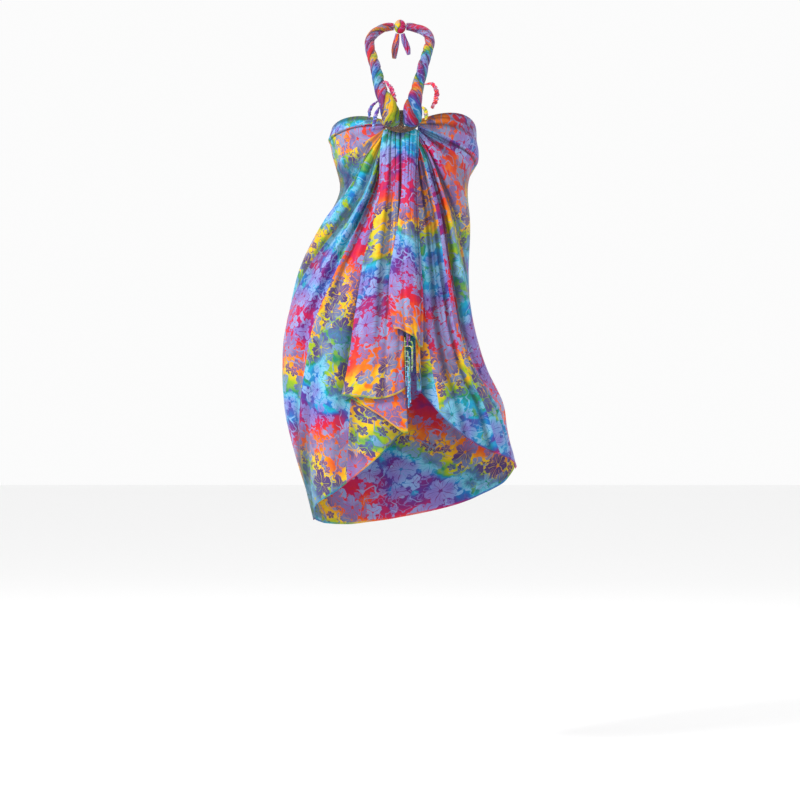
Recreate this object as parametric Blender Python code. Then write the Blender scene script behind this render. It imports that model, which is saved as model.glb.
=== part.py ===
"""Sarong worn as a halter wrap, held by an oval shell buckle.

Metres. X runs to the viewer's right, the front faces -Y, Z is up.
The origin is the inner side of the neck knot, where the nape holds the sarong up.
The cloth is laid on a general figure form, and every fold is one row of a table.
"""
import math

import bpy
import numpy as np
from mathutils import Vector
from mathutils.bvhtree import BVHTree

# Sizes of the wrap
AXIS_Y = -0.065
SIDE_ANGLE = 100.0
SEAM_ANGLE = 0.05
CLOTH_THICK = 0.0012
ARC_PER_DEGREE = 0.0024
TURN_START = 0.0020
TURN_END = 0.0036
SEAM_HALF_GAP = 0.00015
SEAT_GAP = 0.00035
SEAT_REACH = 0.0045
RAY_STEPS = 17
FOLD_STEPS = 3
BACK_COLUMNS = 22

# Sizes of the buckle
BUCKLE_X = 0.002
BUCKLE_Z = -0.2246
BUCKLE_DEPTH = 0.1435
BUCKLE_WIDE = 0.074
BUCKLE_TALL = 0.045
BUCKLE_THICK = 0.004
BUCKLE_RIM = 0.0052
BUCKLE_LOWER_RIM = 0.0125
BUCKLE_BAR = 0.012
BUCKLE_DOME = 0.004

# Figure form, one row for each height
# height, left half width, right half width, front depth, back depth
FORM = (
    (0.000, 0.125, 0.140, 0.100, 0.092),
    (-0.190, 0.132, 0.150, 0.114, 0.095),
    (-0.265, 0.141, 0.156, 0.125, 0.100),
    (-0.343, 0.124, 0.141, 0.122, 0.090),
    (-0.412, 0.150, 0.141, 0.122, 0.088),
    (-0.479, 0.185, 0.138, 0.127, 0.100),
    (-0.571, 0.220, 0.143, 0.132, 0.118),
    (-0.614, 0.232, 0.146, 0.135, 0.124),
    (-0.712, 0.232, 0.168, 0.142, 0.130),
    (-0.785, 0.225, 0.203, 0.148, 0.133),
    (-0.869, 0.207, 0.220, 0.152, 0.135),
    (-0.912, 0.197, 0.231, 0.155, 0.136),
    (-1.022, 0.170, 0.238, 0.158, 0.138),
    (-1.100, 0.165, 0.240, 0.160, 0.140),
)

# Folds of the left front, from the top edge to the free short edge
# name, four angles, four heights in mm, lift at start, middle and end in mm, turn
# turn is 0 for a plain fold line, 1 for a fold back on the right, -1 for one on the left,
# and 2 or -2 for one that goes under
LEFT_FOLDS = (
    ("top_edge", -11.5, -44.0, -72.0, -100.0, -220, -208, -217, -228, 1.0, 2.0, 1.0, 0),
    ("band_fold", -11.7, -43.9, -71.8, -100.0, -226, -229, -241, -252, 2.0, 4.0, 2.0, 0),
    ("band_groove", -11.8, -44.3, -72.1, -100.0, -231, -239, -252, -264, 0.5, -2.0, 0.0, 0),
    ("upper_groove", -11.8, -37.2, -67.3, -100.0, -236, -303, -340, -365, 0.0, -4.0, -1.0, 0),
    ("first_ridge", -11.6, -43.5, -71.3, -100.0, -241, -349, -455, -560, 1.5, 9.0, 3.0, 0),
    ("first_groove", -11.2, -42.8, -73.2, -100.0, -245, -385, -514, -650, 0.0, -6.0, -2.0, 0),
    ("second_ridge", -10.2, -38.8, -63.4, -100.0, -248, -455, -657, -850, 1.0, 9.0, 2.0, 0),
    ("second_groove", -9.8, -39.3, -60.6, -100.0, -252, -515, -772, -1018, 0.0, -5.0, 0.0, 0),
    ("third_ridge", -8.8, -26.3, -40.6, -58.7, -256, -507, -745, -981, 0.5, 4.0, 4.0, 0),
    ("shadow", -8.0, -16.2, -22.9, -32.8, -260, -496, -718, -939, 0.0, -3.0, -2.0, 0),
    ("under_panel", -7.4, -9.6, -10.5, -13.6, -262, -484, -689, -893, 0.0, 0.0, 3.0, 0),
    ("panel_fold", -4.4, -1.4, 1.5, 4.1, -264, -469, -655, -840, 2.4, 5.0, 6.0, 1),
    ("under_fold", -7.6, -10.3, -10.0, -11.2, -256, -449, -626, -803, 4.6, 9.0, 12.0, 0),
    ("flap_fold", -12.8, -20.5, -21.9, -29.1, -240, -426, -597, -767, 6.8, 11.0, 16.0, -1),
    ("flap_ridge", -8.4, -13.4, -14.4, -18.9, -236, -427, -598, -769, 9.2, 19.0, 25.0, 0),
    ("flap_valley", -5.0, -6.3, -7.7, -10.2, -235, -427, -600, -773, 8.6, 14.0, 18.0, 0),
    ("flap_roll", -1.8, -2.3, -2.4, -3.6, -235, -425, -596, -767, 9.0, 18.0, 22.0, 0),
    ("short_edge", 2.2, 3.0, 2.9, 3.3, -236, -420, -587, -753, 8.8, 14.0, 18.0, 0),
)

# Folds of the right front, with the same columns
RIGHT_FOLDS = (
    ("top_edge", 12.8, 43.8, 72.8, 100.0, -220, -200, -210, -236, 1.0, 2.0, 1.0, 0),
    ("band_dip", 13.0, 44.7, 72.4, 100.0, -226, -222, -241, -262, 0.5, -2.0, 0.0, 0),
    ("band_ridge", 13.1, 41.1, 70.1, 100.0, -230, -259, -283, -302, 2.0, 6.0, 2.0, 0),
    ("band_groove", 13.0, 43.0, 72.9, 100.0, -236, -273, -296, -330, 0.0, -5.0, -1.0, 0),
    ("bust_panel", 12.8, 39.5, 66.9, 100.0, -240, -335, -423, -500, 1.0, 5.0, 2.0, 0),
    ("waist_dip", 12.4, 45.8, 75.3, 100.0, -243, -380, -505, -620, 0.0, -6.0, -1.0, 0),
    ("hip_ridge", 12.2, 44.8, 68.4, 100.0, -246, -440, -640, -770, 1.0, 6.0, 2.0, 0),
    ("long_groove", 11.6, 42.4, 60.2, 100.0, -250, -470, -710, -912, 0.0, -5.0, 0.0, 0),
    ("hip_fold", 10.9, 33.0, 45.0, 60.0, -254, -458, -670, -885, 0.8, 5.0, 3.0, 0),
    ("soft_groove", 10.3, 25.0, 33.0, 40.3, -257, -450, -650, -857, 0.0, -3.0, -2.0, 0),
    ("inner_panel", 9.4, 15.8, 22.0, 25.0, -260, -440, -625, -815, 0.0, 0.0, 2.0, 0),
    ("panel_fold", 6.2, 8.6, 11.1, 9.8, -262, -429, -593, -760, 2.4, 7.0, 6.0, -1),
    ("under_fold", 9.6, 10.9, 13.3, 12.2, -250, -413, -566, -725, 4.6, 13.0, 14.0, 0),
    ("flap_fold", 13.4, 13.2, 15.6, 14.6, -240, -393, -532, -671, 7.4, 20.0, 22.0, 1),
    ("flap_ridge", 9.0, 7.6, 8.3, 9.6, -236, -388, -521, -653, 14.4, 33.0, 34.0, 0),
    ("flap_roll", 5.0, 4.0, 2.3, 3.6, -235, -384, -513, -642, 14.8, 33.0, 34.0, 0),
    ("roll_edge", 0.6, 0.4, -4.7, -2.6, -235, -382, -509, -635, 12.8, 28.0, 29.0, -2),
    ("short_edge", 4.6, 5.2, 1.5, 3.6, -236, -380, -504, -630, 10.9, 24.5, 25.5, 0),
)

# Where each front is parted, by the number of its row in the table above
LEFT_PARTS = (("left_panel", 0, 11), ("left_underfold", 11, 13), ("left_flap", 13, 17))
RIGHT_PARTS = (("right_panel", 0, 11), ("right_underfold", 11, 13), ("right_flap", 13, 17))

# Number of rows that end on the side line, in both tables
SIDE_ROWS = 8

# Vertical folds of the back: angle, width in degrees, lift in mm at top and hem
BACK_FOLDS = (
    (118.0, 7.0, 1.0, 6.0),
    (139.0, 9.0, -1.0, -7.0),
    (160.0, 10.0, 1.5, 10.0),
    (181.0, 8.0, -1.0, -6.0),
    (203.0, 11.0, 1.0, 8.0),
    (226.0, 8.0, -1.0, -8.0),
    (243.0, 7.0, 0.5, 5.0),
)
BACK_TOP_SAG = -0.022
BACK_HEM_SAG = -0.056

# Straps, from the buckle to the nape: x, depth before the axis, height, radius, all in mm
STRAP_LEFT = (
    (-18.0, 140.9, -225.4, 7.0),
    (-19.0, 151.0, -221.0, 10.2),
    (-20.5, 158.5, -206.0, 14.2),
    (-28.5, 152.0, -186.0, 13.6),
    (-37.5, 120.0, -162.0, 12.5),
    (-43.5, 92.0, -135.0, 12.0),
    (-50.0, 68.0, -105.0, 11.5),
    (-57.0, 44.0, -79.0, 11.0),
    (-62.0, 15.0, -55.0, 10.5),
    (-60.0, -22.0, -34.0, 10.5),
    (-49.0, -54.0, -15.0, 10.0),
    (-33.0, -73.0, -4.0, 9.5),
    (-22.0, -77.5, -0.5, 9.0),
    (-13.15, -78.1, 0.0, 8.0),
)
STRAP_RIGHT = (
    (20.3, 140.9, -225.6, 6.8),
    (21.3, 151.0, -221.4, 10.0),
    (22.5, 158.5, -206.0, 14.8),
    (26.0, 152.0, -186.0, 14.0),
    (32.5, 120.0, -162.0, 12.5),
    (39.5, 92.0, -135.0, 12.0),
    (47.0, 68.0, -103.0, 11.5),
    (54.0, 44.0, -76.0, 11.0),
    (60.0, 15.0, -52.0, 10.5),
    (59.0, -22.0, -30.0, 10.5),
    (48.0, -54.0, -13.0, 10.0),
    (33.0, -73.0, -4.0, 9.5),
    (22.0, -77.5, -0.5, 9.0),
    (13.15, -78.1, 0.0, 8.0),
)
STRAP_SIDES = 14
STRAP_STEPS = 38
STRAP_TURNS = 5.0
STRAP_LOBE = 0.10

# Knot at the nape, and the two cloth ends that hang from it
KNOT_CENTRE_Y = 0.0131
KNOT_WIDE = 0.0128
KNOT_DEEP = 0.0130
KNOT_TALL = 0.0150
TAIL_LEFT = (
    (-5.4, -78.1, -14.7, 4.2),
    (-7.5, -79.5, -30.0, 6.5),
    (-11.0, -79.0, -50.0, 7.0),
    (-12.0, -77.0, -66.0, 4.5),
)
TAIL_RIGHT = (
    (5.4, -78.1, -14.7, 4.2),
    (9.5, -79.5, -30.0, 6.5),
    (15.0, -79.0, -44.0, 6.5),
    (18.0, -77.0, -58.0, 4.0),
)

# Fringe tassels that stand out of the twisted straps, with the columns of the straps
STRAP_TASSELS = (
    ("strap_tassel_1", "left_strap", (
        (-28.5, 122.0, -141.0, 1.8), (-21.0, 131.0, -152.0, 3.6),
        (-14.0, 143.0, -168.0, 4.2), (-8.5, 151.0, -187.0, 3.0))),
    ("strap_tassel_2", "right_strap", (
        (53.6, 110.0, -146.0, 1.8), (65.0, 112.0, -147.0, 3.4),
        (72.5, 116.0, -160.0, 4.2), (71.5, 120.0, -178.0, 4.6), (64.0, 124.0, -196.0, 3.0))),
    ("strap_tassel_3", "left_strap", (
        (-46.0, 143.0, -186.0, 1.8), (-53.5, 146.0, -193.0, 2.8),
        (-60.0, 146.0, -204.0, 3.2), (-60.0, 145.0, -217.0, 2.2))),
    ("strap_tassel_4", "left_strap", (
        (-38.6, 153.0, -198.0, 1.8), (-45.5, 156.0, -208.0, 3.4),
        (-50.0, 156.0, -224.0, 3.6), (-53.0, 153.0, -245.0, 2.4))),
    ("strap_tassel_5", "right_strap", (
        (40.5, 163.5, -199.5, 1.6), (47.5, 165.5, -202.0, 3.0),
        (51.0, 161.5, -211.5, 3.8), (51.5, 158.0, -223.0, 2.6))),
)

# Fringes on the two short edges
FRINGE_STRIP_WIDE = 0.0026
FRINGE_STRIP_THICK = 0.0014
LEFT_FRINGE_FROM = 0.80
RIGHT_FRINGE_FROM = 0.90
TASSEL_LONG = 0.052
# Reach in mm and turn in degrees of each hanging tassel from its root, from the top down
LEFT_TASSELS = (
    (16.0, 30.0),
    (16.0, 40.0),
    (5.0, 10.0),
    (11.0, 50.0),
    (16.0, 65.0),
    (12.0, 65.0),
    (7.0, 65.0),
    (8.0, 10.0),
    (4.0, 0.0),
)
RIGHT_TASSELS = (
    (13.0, 0.0),
    (8.5, 0.0),
    (4.0, 0.0),
)
# Path of a hanging tassel: share of its reach, share of its length, half width
TASSEL_PATH = (
    (0.80, 0.015, 0.0010),
    (1.00, 0.090, 0.0011),
    (1.00, 0.550, 0.0012),
    (1.00, 1.000, 0.0006),
)

# Colours
CLOTH_COLOUR = (0.42, 0.12, 0.34, 1.0)
FRINGE_COLOUR = (0.35, 0.42, 0.10, 1.0)
SHELL_COLOUR = (0.16, 0.10, 0.04, 1.0)


def smooth_table(table, at, column):
    """Smooth value of one column of a table of heights."""
    rows = sorted(table)
    xs = np.array([row[0] for row in rows], float)
    ys = np.array([row[column] for row in rows], float)
    slopes = np.gradient(ys, xs)
    at = np.clip(np.asarray(at, float), xs[0], xs[-1])
    low = np.clip(np.searchsorted(xs, at) - 1, 0, len(xs) - 2)
    span = xs[low + 1] - xs[low]
    part = (at - xs[low]) / span
    a = (1 + 2 * part) * (1 - part) ** 2 * ys[low]
    b = part * (1 - part) ** 2 * span * slopes[low]
    c = part * part * (3 - 2 * part) * ys[low + 1]
    d = part * part * (part - 1) * span * slopes[low + 1]
    return a + b + c + d


def on_form(angle, height, lift):
    """Points at an angle round the figure, at a height, lifted off the form."""
    turn = np.radians(angle)
    side = np.sin(turn)
    front = np.cos(turn)
    wide = np.where(side < 0, smooth_table(FORM, height, 1), smooth_table(FORM, height, 2))
    deep = np.where(front > 0, smooth_table(FORM, height, 3), smooth_table(FORM, height, 4))
    out_x = side / wide
    out_y = -front / deep
    size = np.sqrt(out_x ** 2 + out_y ** 2)
    x = wide * side + lift * out_x / size
    y = AXIS_Y - deep * front + lift * out_y / size
    return np.stack([x, y, height + 0.0 * x], axis=-1)


def form_normal(angle, height):
    """Level direction straight out of the form."""
    return on_form(angle, height, 1.0) - on_form(angle, height, 0.0)


def fold_rays(table, steps):
    """Angle in mm of arc, height and lift of every fold line, from buckle to hem."""
    t = np.linspace(0.0, 1.0, steps)
    rays = []
    marks = []
    for row in table:
        angle = cubic_through(row[1:5], t)
        height = cubic_through(row[5:9], t) / 1000.0
        lift = parabola_through(row[9:12], t) / 1000.0
        turn = row[12]
        arc = angle * ARC_PER_DEGREE
        marks.append(len(rays) + (1 if turn else 0))
        if turn:
            reach = TURN_START + (TURN_END - TURN_START) * t
            inset = arc - math.copysign(1.3, turn) * reach
            if abs(turn) == 2:
                reach = -reach
            rays.append(np.stack([inset, height, lift - reach], axis=1))
            rays.append(np.stack([arc, height, lift], axis=1))
            rays.append(np.stack([inset, height, lift + reach], axis=1))
        else:
            rays.append(np.stack([arc, height, lift], axis=1))
    return np.array(rays), marks


def cubic_through(values, t):
    """Cubic curve through four values at equal steps."""
    a, b, c, d = values
    one = -4.5 * (t - 1 / 3) * (t - 2 / 3) * (t - 1)
    two = 13.5 * t * (t - 2 / 3) * (t - 1)
    three = -13.5 * t * (t - 1 / 3) * (t - 1)
    four = 4.5 * t * (t - 1 / 3) * (t - 2 / 3)
    return a * one + b * two + c * three + d * four


def parabola_through(values, t):
    """Curve through three values at equal steps."""
    a, b, c = values
    return a * (1 - t) * (1 - 2 * t) + 4 * b * t * (1 - t) + c * t * (2 * t - 1)


def spline_across(rays, steps):
    """Spline across the fold lines that never overshoots at a close turn."""
    count = len(rays)
    gaps = np.maximum(np.linalg.norm(np.diff(rays, axis=0), axis=2), 1e-6) ** 0.5
    knots = np.concatenate([np.zeros((1, gaps.shape[1])), np.cumsum(gaps, axis=0)])
    slopes = np.zeros_like(rays)
    for j in range(count):
        low = max(j - 1, 0)
        high = min(j + 1, count - 1)
        before = (rays[j] - rays[low]) / np.maximum(knots[j] - knots[low], 1e-9)[:, None]
        after = (rays[high] - rays[j]) / np.maximum(knots[high] - knots[j], 1e-9)[:, None]
        if low == j:
            slopes[j] = after
        elif high == j:
            slopes[j] = before
        else:
            wide_low = (knots[j] - knots[low])[:, None]
            wide_high = (knots[high] - knots[j])[:, None]
            slopes[j] = (before * wide_high + after * wide_low) / (wide_low + wide_high)
    rows = []
    for j in range(count - 1):
        span = (knots[j + 1] - knots[j])[:, None]
        for k in range(steps):
            p = k / steps
            a = (1 + 2 * p) * (1 - p) ** 2 * rays[j]
            b = p * (1 - p) ** 2 * span * slopes[j]
            c = p * p * (3 - 2 * p) * rays[j + 1]
            d = p * p * (p - 1) * span * slopes[j + 1]
            rows.append(a + b + c + d)
    rows.append(rays[-1])
    return np.array(rows)


def front_grid(table, side, ray_steps, fold_steps):
    """Middle surface of one front, with the columns where its rows lie."""
    rays, marks = fold_rays(table, ray_steps)
    grid = spline_across(rays, fold_steps)
    limit = SIDE_ANGLE - SEAM_ANGLE
    angle = np.clip(grid[:, :, 0] / ARC_PER_DEGREE, -limit, limit)
    last = (SIDE_ROWS - 1) * fold_steps
    angle[:last + 1, -1] = side * limit
    points = on_form(angle, grid[:, :, 1], grid[:, :, 2])
    columns = [mark * fold_steps for mark in marks]
    seam = np.stack([grid[:last + 1, -1, 1], grid[:last + 1, -1, 2]], axis=1)
    return points, columns, seam


def back_grid(left_seam, right_seam, columns):
    """Middle surface of the back, from the left side line to the right one."""
    rows = len(left_seam)
    s = np.linspace(0.0, 1.0, columns)[None, :]
    down = np.linspace(0.0, 1.0, rows)[:, None]
    limit = SIDE_ANGLE + SEAM_ANGLE
    angle = -limit - s * (360.0 - 2 * limit) + 0.0 * down
    height = left_seam[:, :1] * (1 - s) + right_seam[:, :1] * s
    drop = (height - height[:1]) / (height[-1:] - height[:1])
    sag = BACK_TOP_SAG * (1 - drop) + BACK_HEM_SAG * drop
    height = height + sag * np.sin(math.pi * s) ** 0.8
    lift = np.zeros_like(height)
    for centre, wide, top, hem in BACK_FOLDS:
        bump = np.exp(-((-angle - centre) / wide) ** 2)
        lift = lift + bump * (top * (1 - drop) + hem * drop) / 1000.0
    near_left = np.clip(1 - s / 0.16, 0, 1) ** 2
    near_right = np.clip(1 - (1 - s) / 0.16, 0, 1) ** 2
    lift = lift * (1 - near_left) * (1 - near_right)
    lift = lift + left_seam[:, 1:] * near_left + right_seam[:, 1:] * near_right
    return on_form(angle, height, lift)


def grid_normals(grid):
    """Unit normal at each point of a grid."""
    along = np.gradient(grid, axis=0)
    across = np.gradient(grid, axis=1)
    normal = np.cross(along, across)
    size = np.maximum(np.linalg.norm(normal, axis=2, keepdims=True), 1e-12)
    return normal / size


def mesh_object(name, verts, faces, colour, rough=0.75):
    """New object with its own plain material, with its normals facing out."""
    mesh = bpy.data.meshes.new(name)
    mesh.from_pydata([tuple(map(float, v)) for v in verts], [], faces)
    mesh.update()
    ob = bpy.data.objects.new(name, mesh)
    bpy.context.collection.objects.link(ob)
    volume = 0.0
    for face in faces:
        a = np.array(verts[face[0]])
        for k in range(1, len(face) - 1):
            volume += np.dot(a, np.cross(verts[face[k]], verts[face[k + 1]]))
    if volume < 0:
        mesh.flip_normals()
    material = bpy.data.materials.new(name + "_mat")
    material.use_nodes = True
    shader = material.node_tree.nodes["Principled BSDF"]
    shader.inputs["Base Color"].default_value = colour
    shader.inputs["Roughness"].default_value = rough
    shader.inputs["Metallic"].default_value = 0.0
    mesh.materials.append(material)
    return ob


def wall_object(name, grid, normals, thick, colour):
    """Closed wall of cloth with its middle on a grid of points."""
    rows, cols = grid.shape[:2]
    outer = (grid + normals * thick / 2).reshape(-1, 3)
    inner = (grid - normals * thick / 2).reshape(-1, 3)
    verts = np.concatenate([outer, inner])
    half = rows * cols
    faces = []
    for i in range(rows - 1):
        for j in range(cols - 1):
            a = i * cols + j
            b = a + 1
            c = a + cols + 1
            d = a + cols
            first = np.linalg.norm(verts[a] - verts[c])
            second = np.linalg.norm(verts[b] - verts[d])
            pair = ((a, b, c), (a, c, d)) if first < second else ((a, b, d), (b, c, d))
            for e, f, g in pair:
                faces.append((e, f, g))
                faces.append((half + g, half + f, half + e))
    rim = [j for j in range(cols)]
    rim += [i * cols + cols - 1 for i in range(1, rows)]
    rim += [(rows - 1) * cols + j for j in range(cols - 2, -1, -1)]
    rim += [i * cols for i in range(rows - 2, 0, -1)]
    for k, a in enumerate(rim):
        b = rim[(k + 1) % len(rim)]
        faces.append((b, a, half + a, half + b))
    return mesh_object(name, verts, faces, colour)


def parted(grid, first, last, trim_first, trim_last):
    """Columns of a grid between two fold lines, drawn back a little at a seam."""
    part = grid[first:last + 1].copy()
    if trim_first:
        way = part[1] - part[0]
        part[0] += SEAM_HALF_GAP * way / np.linalg.norm(way, axis=1, keepdims=True)
    if trim_last:
        way = part[-2] - part[-1]
        part[-1] += SEAM_HALF_GAP * way / np.linalg.norm(way, axis=1, keepdims=True)
    return part


def front_objects(grid, columns, parts, side):
    """One wall for each stretch of a front that shows."""
    normals = grid_normals(grid)
    last = columns[SIDE_ROWS - 1]
    facing = np.sign(np.sum(normals[2, -2] * form_normal(side * SIDE_ANGLE, grid[2, -1, 2])))
    normals[:last + 1, -1] = facing * form_normal(side * SIDE_ANGLE, grid[:last + 1, -1, 2])
    end = len(grid) - 1
    for name, first, last in parts:
        a = columns[first]
        b = columns[last]
        piece = parted(grid, a, b, a > 0, b < end)
        wall_object(name, piece, normals[a:b + 1], CLOTH_THICK, CLOTH_COLOUR)


def row_points(rows):
    """Rows of x, depth, height and radius in mm as places in the part."""
    table = []
    for x, depth, height, radius in rows:
        table.append((x / 1000.0, AXIS_Y - depth / 1000.0, height / 1000.0, radius / 1000.0))
    return np.array(table)


def seated(table, carrier):
    """Draw the first point of a path onto the piece that carries it."""
    mesh = carrier.data
    places = [v.co for v in mesh.vertices]
    tree = BVHTree.FromPolygons(places, [list(face.vertices) for face in mesh.polygons])
    spot, normal, index, distance = tree.find_nearest(Vector(table[0, :3]))
    out = (Vector(table[0, :3]) - spot).normalized()
    start = table[:1].copy()
    start[0, :3] = spot + out * SEAT_GAP
    table[0, :3] = spot + out * SEAT_REACH
    return np.concatenate([start, table])


def path_points(table, steps):
    """Smooth path and radius through the rows of a table."""
    marks = np.concatenate([[0.0], np.cumsum(np.linalg.norm(np.diff(table[:, :3], axis=0), axis=1))])
    named = [tuple([mark]) + tuple(row) for mark, row in zip(marks, table)]
    at = np.linspace(0.0, marks[-1], steps)
    return np.stack([smooth_table(named, at, k) for k in range(1, 5)], axis=1)


def tube_rings(path, sides, turns, lobe):
    """Rings round a path, with two twisted lobes."""
    points = path[:, :3]
    tangents = np.gradient(points, axis=0)
    tangents /= np.linalg.norm(tangents, axis=1, keepdims=True)
    normal = np.cross(tangents[0], (0.0, 1.0, 0.3))
    normal /= np.linalg.norm(normal)
    rings = []
    steps = len(points)
    for k in range(steps):
        normal = normal - np.dot(normal, tangents[k]) * tangents[k]
        normal /= np.linalg.norm(normal)
        other = np.cross(tangents[k], normal)
        ring = []
        for j in range(sides):
            angle = 2 * math.pi * j / sides
            twist = 2 * math.pi * turns * k / (steps - 1)
            size = path[k, 3] * (1 - lobe + lobe * math.cos(2 * (angle - twist)))
            ring.append(points[k] + size * (math.cos(angle) * normal + math.sin(angle) * other))
        rings.append(ring)
    return np.array(rings)


def tube_object(name, path, sides, turns, lobe, colour):
    """Closed tube with flat ends."""
    rings = tube_rings(path, sides, turns, lobe)
    steps = len(rings)
    verts = rings.reshape(-1, 3)
    faces = []
    for k in range(steps - 1):
        for j in range(sides):
            n = (j + 1) % sides
            faces.append((k * sides + j, k * sides + n, (k + 1) * sides + n, (k + 1) * sides + j))
    faces.append(tuple(range(sides - 1, -1, -1)))
    faces.append(tuple((steps - 1) * sides + j for j in range(sides)))
    return mesh_object(name, verts, faces, colour)


def knot_object():
    """Plain round knot at the nape, its inner side on the origin."""
    rows = 10
    sides = 16
    verts = []
    for i in range(1, rows):
        tilt = math.pi * i / rows
        for j in range(sides):
            angle = 2 * math.pi * j / sides
            x = KNOT_WIDE * math.sin(tilt) * math.cos(angle)
            y = KNOT_CENTRE_Y + KNOT_DEEP * math.sin(tilt) * math.sin(angle)
            verts.append((x, y, KNOT_TALL * math.cos(tilt)))
    faces = []
    for i in range(rows - 2):
        for j in range(sides):
            n = (j + 1) % sides
            faces.append((i * sides + j, (i + 1) * sides + j, (i + 1) * sides + n, i * sides + n))
    faces.append(tuple(range(sides)))
    faces.append(tuple((rows - 2) * sides + j for j in range(sides - 1, -1, -1)))
    return mesh_object("neck_knot", verts, faces, CLOTH_COLOUR)


def hole_outline(side, count):
    """Points of one hole, a half oval beside the bar, from the bar round and back."""
    wide = BUCKLE_WIDE / 2 - BUCKLE_RIM
    reach = math.acos((BUCKLE_BAR / 2) / wide)
    points = []
    for j in range(count):
        angle = -reach + 2 * reach * j / (count - 1)
        rim = BUCKLE_RIM if angle > 0 else BUCKLE_LOWER_RIM
        tall = BUCKLE_TALL / 2 - rim
        points.append((side * wide * math.cos(angle), tall * math.sin(angle)))
    return points


def buckle_depth(x, z):
    """Front of the domed shell at a place on the buckle."""
    round_off = (x / (BUCKLE_WIDE / 2)) ** 2 + (z / (BUCKLE_TALL / 2)) ** 2
    return BUCKLE_DEPTH + BUCKLE_DOME * (1 - round_off) * 0.5


def buckle_object():
    """Oval shell plate with two holes, as rows of quads round each hole."""
    arc = 13
    verts = []
    faces = []
    outer = []
    for side in (1, -1):
        holes = hole_outline(side, arc)
        rims = []
        for j in range(arc):
            x, z = holes[j]
            angle = math.atan2(z / BUCKLE_TALL, x / BUCKLE_WIDE)
            rims.append((BUCKLE_WIDE / 2 * math.cos(angle), BUCKLE_TALL / 2 * math.sin(angle)))
        outer.append((holes, rims))
    plan = []
    for holes, rims in outer:
        plan.append([len(verts) + k for k in range(arc)])
        verts += holes
        plan.append([len(verts) + k for k in range(arc)])
        verts += rims
    middle = len(verts)
    verts += [(0.0, BUCKLE_TALL / 2), (0.0, -BUCKLE_TALL / 2)]
    right_hole, right_rim, left_hole, left_rim = plan
    flat = []
    for hole, rim in ((right_hole, right_rim), (left_hole, left_rim)):
        for j in range(arc - 1):
            flat.append((hole[j], rim[j], rim[j + 1], hole[j + 1]))
    top = arc - 1
    flat.append((right_hole[top], right_rim[top], middle, left_rim[top], left_hole[top]))
    flat.append((left_hole[0], left_rim[0], middle + 1, right_rim[0], right_hole[0]))
    flat.append((right_hole[0], right_hole[top], left_hole[top], left_hole[0]))
    flat = [face if turns_left(face, verts) else tuple(reversed(face)) for face in flat]
    front = []
    back = []
    for x, z in verts:
        y = AXIS_Y - buckle_depth(x, z)
        front.append((BUCKLE_X + x, y, BUCKLE_Z + z))
        back.append((BUCKLE_X + x, y + BUCKLE_THICK, BUCKLE_Z + z))
    half = len(front)
    faces = [face for face in flat]
    faces += [tuple(half + v for v in reversed(face)) for face in flat]
    edges = set()
    for face in flat:
        for k, a in enumerate(face):
            edges.add((a, face[(k + 1) % len(face)]))
    for a, b in sorted(edges):
        if (b, a) not in edges:
            faces.append((b, a, half + a, half + b))
    return mesh_object("buckle", front + back, faces, SHELL_COLOUR, 0.35)


def along_edge(values, marks):
    """Values between the points of an edge."""
    return np.stack([np.interp(marks, range(len(values)), values[:, k]) for k in range(3)], axis=1)


def turns_left(face, points):
    """True when a face of flat points runs the same way round as the others."""
    area = 0.0
    for k, a in enumerate(face):
        b = face[(k + 1) % len(face)]
        area += points[a][0] * points[b][1] - points[b][0] * points[a][1]
    return area > 0


def fringe_object(name, edge, inward, out, tassels, colour):
    """Narrow strip along a cloth edge, with a row of tassels grown from its faces."""
    parts = 2 * len(tassels) + 1
    verts = []
    for k in range(parts + 1):
        near = edge[k] - inward[k] * 2 * SEAM_HALF_GAP
        far = near - inward[k] * FRINGE_STRIP_WIDE
        rise = out[k] * FRINGE_STRIP_THICK / 2
        verts += [near - rise, near + rise, far + rise, far - rise]
    faces = [(3, 2, 1, 0)]
    for k in range(parts):
        a = 4 * k
        b = a + 4
        for j in range(3):
            if j != 2 or k % 2 == 0:
                faces.append((a + j, a + j + 1, b + j + 1, b + j))
        faces.append((a + 3, a, b, b + 3))
        if k % 2 == 1:
            ring = [a + 2, a + 3, b + 3, b + 2]
            number = (k - 1) // 2
            reach = tassels[number][0] / 1000.0
            swing = math.radians(tassels[number][1])
            middle = sum(np.array(verts[v]) for v in ring) / 4
            for share, low, size in TASSEL_PATH:
                across = share * reach
                drop = low * TASSEL_LONG
                centre = middle + np.array((across * math.cos(swing), -across * math.sin(swing), -drop))
                fresh = []
                for corner in tassel_corners(drop, size, swing):
                    fresh.append(len(verts))
                    verts.append(centre + np.array(corner))
                for j in range(4):
                    n = (j + 1) % 4
                    faces.append((ring[j], ring[n], fresh[n], fresh[j]))
                ring = fresh
            faces.append(tuple(ring))
    last = 4 * parts
    faces.append((last, last + 1, last + 2, last + 3))
    return mesh_object(name, verts, faces, colour)


def tassel_corners(drop, size, swing):
    """Four corners of a tassel, turned down from level to upright."""
    out = (math.cos(swing), -math.sin(swing))
    over = (math.sin(swing), math.cos(swing))
    corners = []
    for a, b in ((1, -1), (1, 1), (-1, 1), (-1, -1)):
        if drop < 0.002:
            corners.append((b * size * over[0], b * size * over[1], a * size))
        else:
            corners.append((a * size * out[0] + b * size * over[0], a * size * out[1] + b * size * over[1], 0.0))
    return corners


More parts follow.
